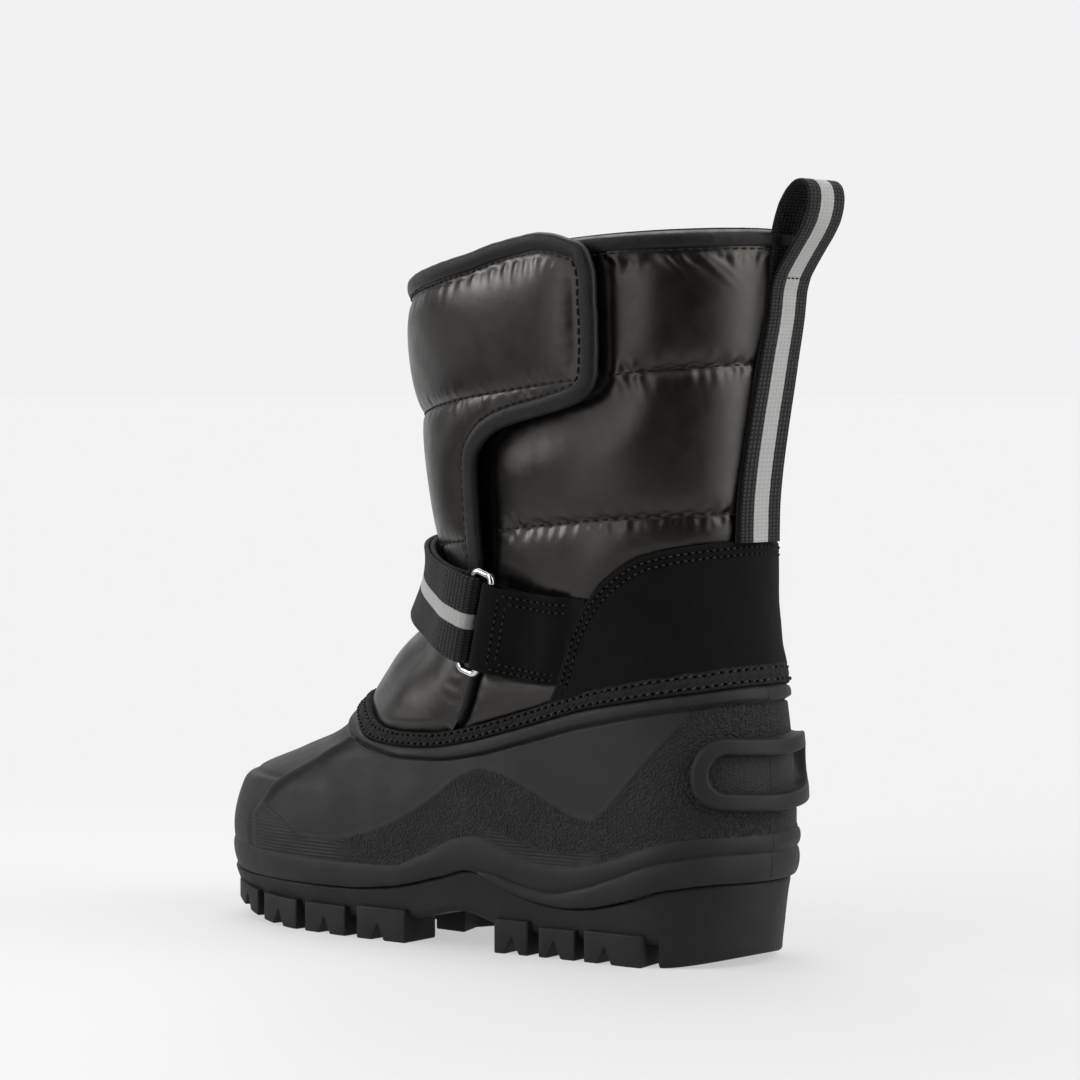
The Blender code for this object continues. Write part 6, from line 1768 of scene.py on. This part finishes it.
# ----------------------------------------------------------------------- insole
rim_floor = ring_at(wave)
rim_floor[:, :2] -= flat_normals(rim_floor) * (RIM_WALL + 0.9)
left, right = rim_floor[: HALF + 1], rim_floor[(-np.arange(HALF + 1)) % COLS]
c = np.linspace(0, 1, 25)[None, :, None]
bed = left[:, None] + (right - left)[:, None] * c
edge_share = np.minimum(c[..., 0], 1 - c[..., 0]) * np.linalg.norm(right - left, axis=-1)[:, None]
bed[..., 2] = slab_floor(bed[..., 1]) + FIT + INSOLE_THICK - 1.3 * (1 - ease(0.0, 2.5, edge_share)) \
    + 0.3 * noise2(bed.shape[:2], (40, 12), 71)
grid_piece("footbed", bed[::3], FELT, flip=True, body_slot="footbed_felt", stands_for=["insole"])

dark.make("dark_stitches", DARK_THREAD, "binding_tape")
grey.make("nubuck_stitches", GREY_THREAD, "nubuck")
fine.make("quilt_stitches", DARK_THREAD, "quilted_nylon")
tape_rows.make("tape_stitches", TAPE_THREAD, "binding_tape")
tape_holes.make("tape_stitch_holes", HOLE_DARK, "binding_tape")
nubuck_holes.make("nubuck_stitch_holes", HOLE_DARK, "nubuck")

# ----------------------------------------------------------------------- stage
AZ, EL = math.radians(-49.0), math.radians(2.35)
BACK = Vector((math.sin(AZ) * math.cos(EL), -math.cos(AZ) * math.cos(EL), math.sin(EL)))
RIGHT = Vector((math.cos(AZ), math.sin(AZ), 0.0))
UP = Vector((0.0, 0.0, 1.0))
AHEAD = UP.cross(RIGHT)                       # level, away from the camera
TARGET = Vector((0.00097, -0.0067, 0.1127))
DISTANCE, FOCAL_PX, FRAME_PX = 1.064, 3760.0, 1080.0

camera_data = bpy.data.cameras.new("camera")
camera_data.sensor_width = 36.0
camera_data.sensor_fit = "AUTO"
camera_data.lens = FOCAL_PX / FRAME_PX * 36.0
camera_data.clip_start, camera_data.clip_end = 0.05, 100.0
camera = bpy.data.objects.new("camera", camera_data)
camera.location = TARGET + BACK * DISTANCE
camera.rotation_mode = "QUATERNION"
camera.rotation_quaternion = (-BACK).to_track_quat("-Z", "Y")
bpy.context.scene.collection.objects.link(camera)
bpy.context.scene.camera = camera

floor_mesh = bpy.data.meshes.new("floor")
ring_count, radii = 96, [0.0, 0.15, 0.4, 1.0, 3.0, 12.0, 60.0]
floor_verts, floor_faces = [(0.0, 0.0, 0.0)], []
for r in radii[1:]:
    floor_verts += [(r * math.cos(2 * math.pi * k / ring_count), r * math.sin(2 * math.pi * k / ring_count), 0.0)
                    for k in range(ring_count)]
for k in range(ring_count):
    floor_faces.append((0, 1 + k, 1 + (k + 1) % ring_count))
for j in range(len(radii) - 2):
    for k in range(ring_count):
        a, b = 1 + j * ring_count + k, 1 + j * ring_count + (k + 1) % ring_count
        floor_faces.append((a, a + ring_count, b + ring_count, b))
floor_mesh.from_pydata(floor_verts, [], floor_faces)
FLOOR_TONE, FLOOR_GLOW = 0.216, 0.50
# brightness of the tent by bearing round the boot, 0 at the camera, plus to its right
WALL = ((-180, 0.887), (-152, 0.887), (-134, 0.16), (-105, 0.12), (-80, 0.40), (-62, 1.2), (-46, 3.0), (-19, 0.02),
        (32, 0.02), (60, 3.4), (74, 4.1), (90, 0.30), (130, 0.35), (155, 0.887), (180, 0.887))
floor_mat = Mat("floor", (FLOOR_TONE, FLOOR_TONE, FLOOR_TONE), 0.9, Specular_IOR_Level=0.0)
# the pale sheet gives way to dark floor out of the frame, where the camera stands
fx, fy, fz = floor_mat.parts(floor_mat.place)
near_cam = floor_mat.math("ADD", floor_mat.math("MULTIPLY", fx, math.sin(AZ)), floor_mat.math("MULTIPLY", fy, -math.cos(AZ)))
beside = floor_mat.math("ADD", floor_mat.math("MULTIPLY", fx, math.cos(AZ)), floor_mat.math("MULTIPLY", fy, math.sin(AZ)))
# outside the strip that the picture takes in, the floor is dim
reach = floor_mat.math("MAXIMUM", floor_mat.math("MULTIPLY_ADD", near_cam, -0.19, 0.20), 0.20)
outside = floor_mat.math("SUBTRACT", floor_mat.math("ABSOLUTE", beside), reach)
aside = floor_mat.math("MULTIPLY", floor_mat.ramp(outside, 0.02, 0.22), floor_mat.ramp(near_cam, -0.9, -0.4))
shade = floor_mat.math("MAXIMUM", floor_mat.ramp(near_cam, 0.27, 0.42), aside)
pale = floor_mat.mix(floor_mat.noise(30, 3), (FLOOR_TONE * 0.998,) * 3, (FLOOR_TONE * 1.002,) * 3)
floor_mat.colour(floor_mat.mix(shade, pale, (0.04, 0.04, 0.04)))
floor_mat.set("Emission Color", (1.0, 1.0, 1.0, 1.0))
turned = floor_mat.math("MULTIPLY", floor_mat.math("ARCTAN2", beside, near_cam), 180.0 / math.pi)
low_wall = WALL[0][1]
for (b0, l0), (b1, l1) in zip(WALL[:-1], WALL[1:]):
    if l1 != l0:
        low_wall = floor_mat.math("MULTIPLY_ADD", floor_mat.ramp(turned, b0, b1), l1 - l0, low_wall)
# painted light: the floor glows a little more on the left, to make up for the light that the boot keeps off there
left_fill_glow = floor_mat.math("MULTIPLY", floor_mat.ramp(floor_mat.math("MULTIPLY", beside, -1.0), 0.02, 0.12),
                         floor_mat.ramp(near_cam, -0.45, -0.05))
glow = floor_mat.math("MULTIPLY", floor_mat.math("SUBTRACT", 1.0, shade),
                      floor_mat.math("MULTIPLY_ADD", left_fill_glow, 0.045, FLOOR_GLOW))
# in the frame the floor glows evenly, plus that painted light on the left; out of the frame it glows at three quarters
# of the tent wall's brightness at the same bearing, as light panels
floor_mat.link(floor_mat.math("MULTIPLY_ADD", shade, floor_mat.math("MULTIPLY", low_wall, 0.75), glow), floor_mat.bsdf.inputs["Emission Strength"])
floor_mesh.materials.append(floor_mat.mat)
floor = bpy.data.objects.new("floor", floor_mesh)
bpy.context.scene.collection.objects.link(floor)

HORIZON = 0.887
world = bpy.data.worlds.new("studio")
bpy.context.scene.world = world
world.use_nodes = True
wt = world.node_tree
background = wt.nodes["Background"]
coords = wt.nodes.new("ShaderNodeTexCoord")


def world_math(op, a, b=0.0, c=0.0):
    n = wt.nodes.new("ShaderNodeMath")
    n.operation = op
    for k, value in enumerate((a, b, c)):
        if isinstance(value, (int, float)):
            n.inputs[k].default_value = value
        else:
            wt.links.new(value, n.inputs[k])
    return n.outputs[0]


def toward(direction):
    n = wt.nodes.new("ShaderNodeVectorMath")
    n.operation = "DOT_PRODUCT"
    wt.links.new(coords.outputs["Generated"], n.inputs[0])
    n.inputs[1].default_value = Vector(direction).normalized()
    return n.outputs["Value"]


def step(value, low, high):
    n = wt.nodes.new("ShaderNodeMapRange")
    n.interpolation_type = "SMOOTHSTEP"
    wt.links.new(value, n.inputs["Value"])
    n.inputs["From Min"].default_value, n.inputs["From Max"].default_value = low, high
    return n.outputs["Result"]


# a pale tent all round, brighter to the left and right of the camera, with a
# dim slot where the camera stands, and three soft boxes: above and behind, low
# on the left, and a weak one at the upper right
ahead_of = toward(AHEAD * -1.0)
bearing = world_math("MULTIPLY", world_math("ARCTAN2", toward(RIGHT), ahead_of), 180.0 / math.pi)
room = WALL[0][1]
for (b0, l0), (b1, l1) in zip(WALL[:-1], WALL[1:]):
    if l1 != l0:
        room = world_math("MULTIPLY_ADD", step(bearing, b0, b1), l1 - l0, room)
boxes = ((RIGHT * -0.12 + AHEAD * 0.50 + UP * 0.86, 0.89, 0.975, 5.0),
         (RIGHT * -0.93 + AHEAD * 0.10 + UP * 0.35, 0.962, 0.992, 10.0),
         (RIGHT * 0.72 + AHEAD * -0.26 + UP * 0.64, 0.76, 0.95, 1.3))
# the side lights end at about sixty degrees up
height_of = toward(UP)
lid = step(height_of, 0.75, 0.95)
room = world_math("ADD", world_math("MULTIPLY", room, world_math("SUBTRACT", 1.0, lid)), world_math("MULTIPLY", lid, 0.9))
for direction, low, high, power in boxes:
    room = world_math("MULTIPLY_ADD", step(toward(direction), low, high), power, room)
wt.links.new(room, background.inputs["Strength"])
background.inputs["Color"].default_value = (1.0, 1.0, 1.0, 1.0)

view = bpy.context.scene.view_settings
view.view_transform = "Standard"
view.look = "None"
view.exposure, view.gamma = 0.0, 1.0
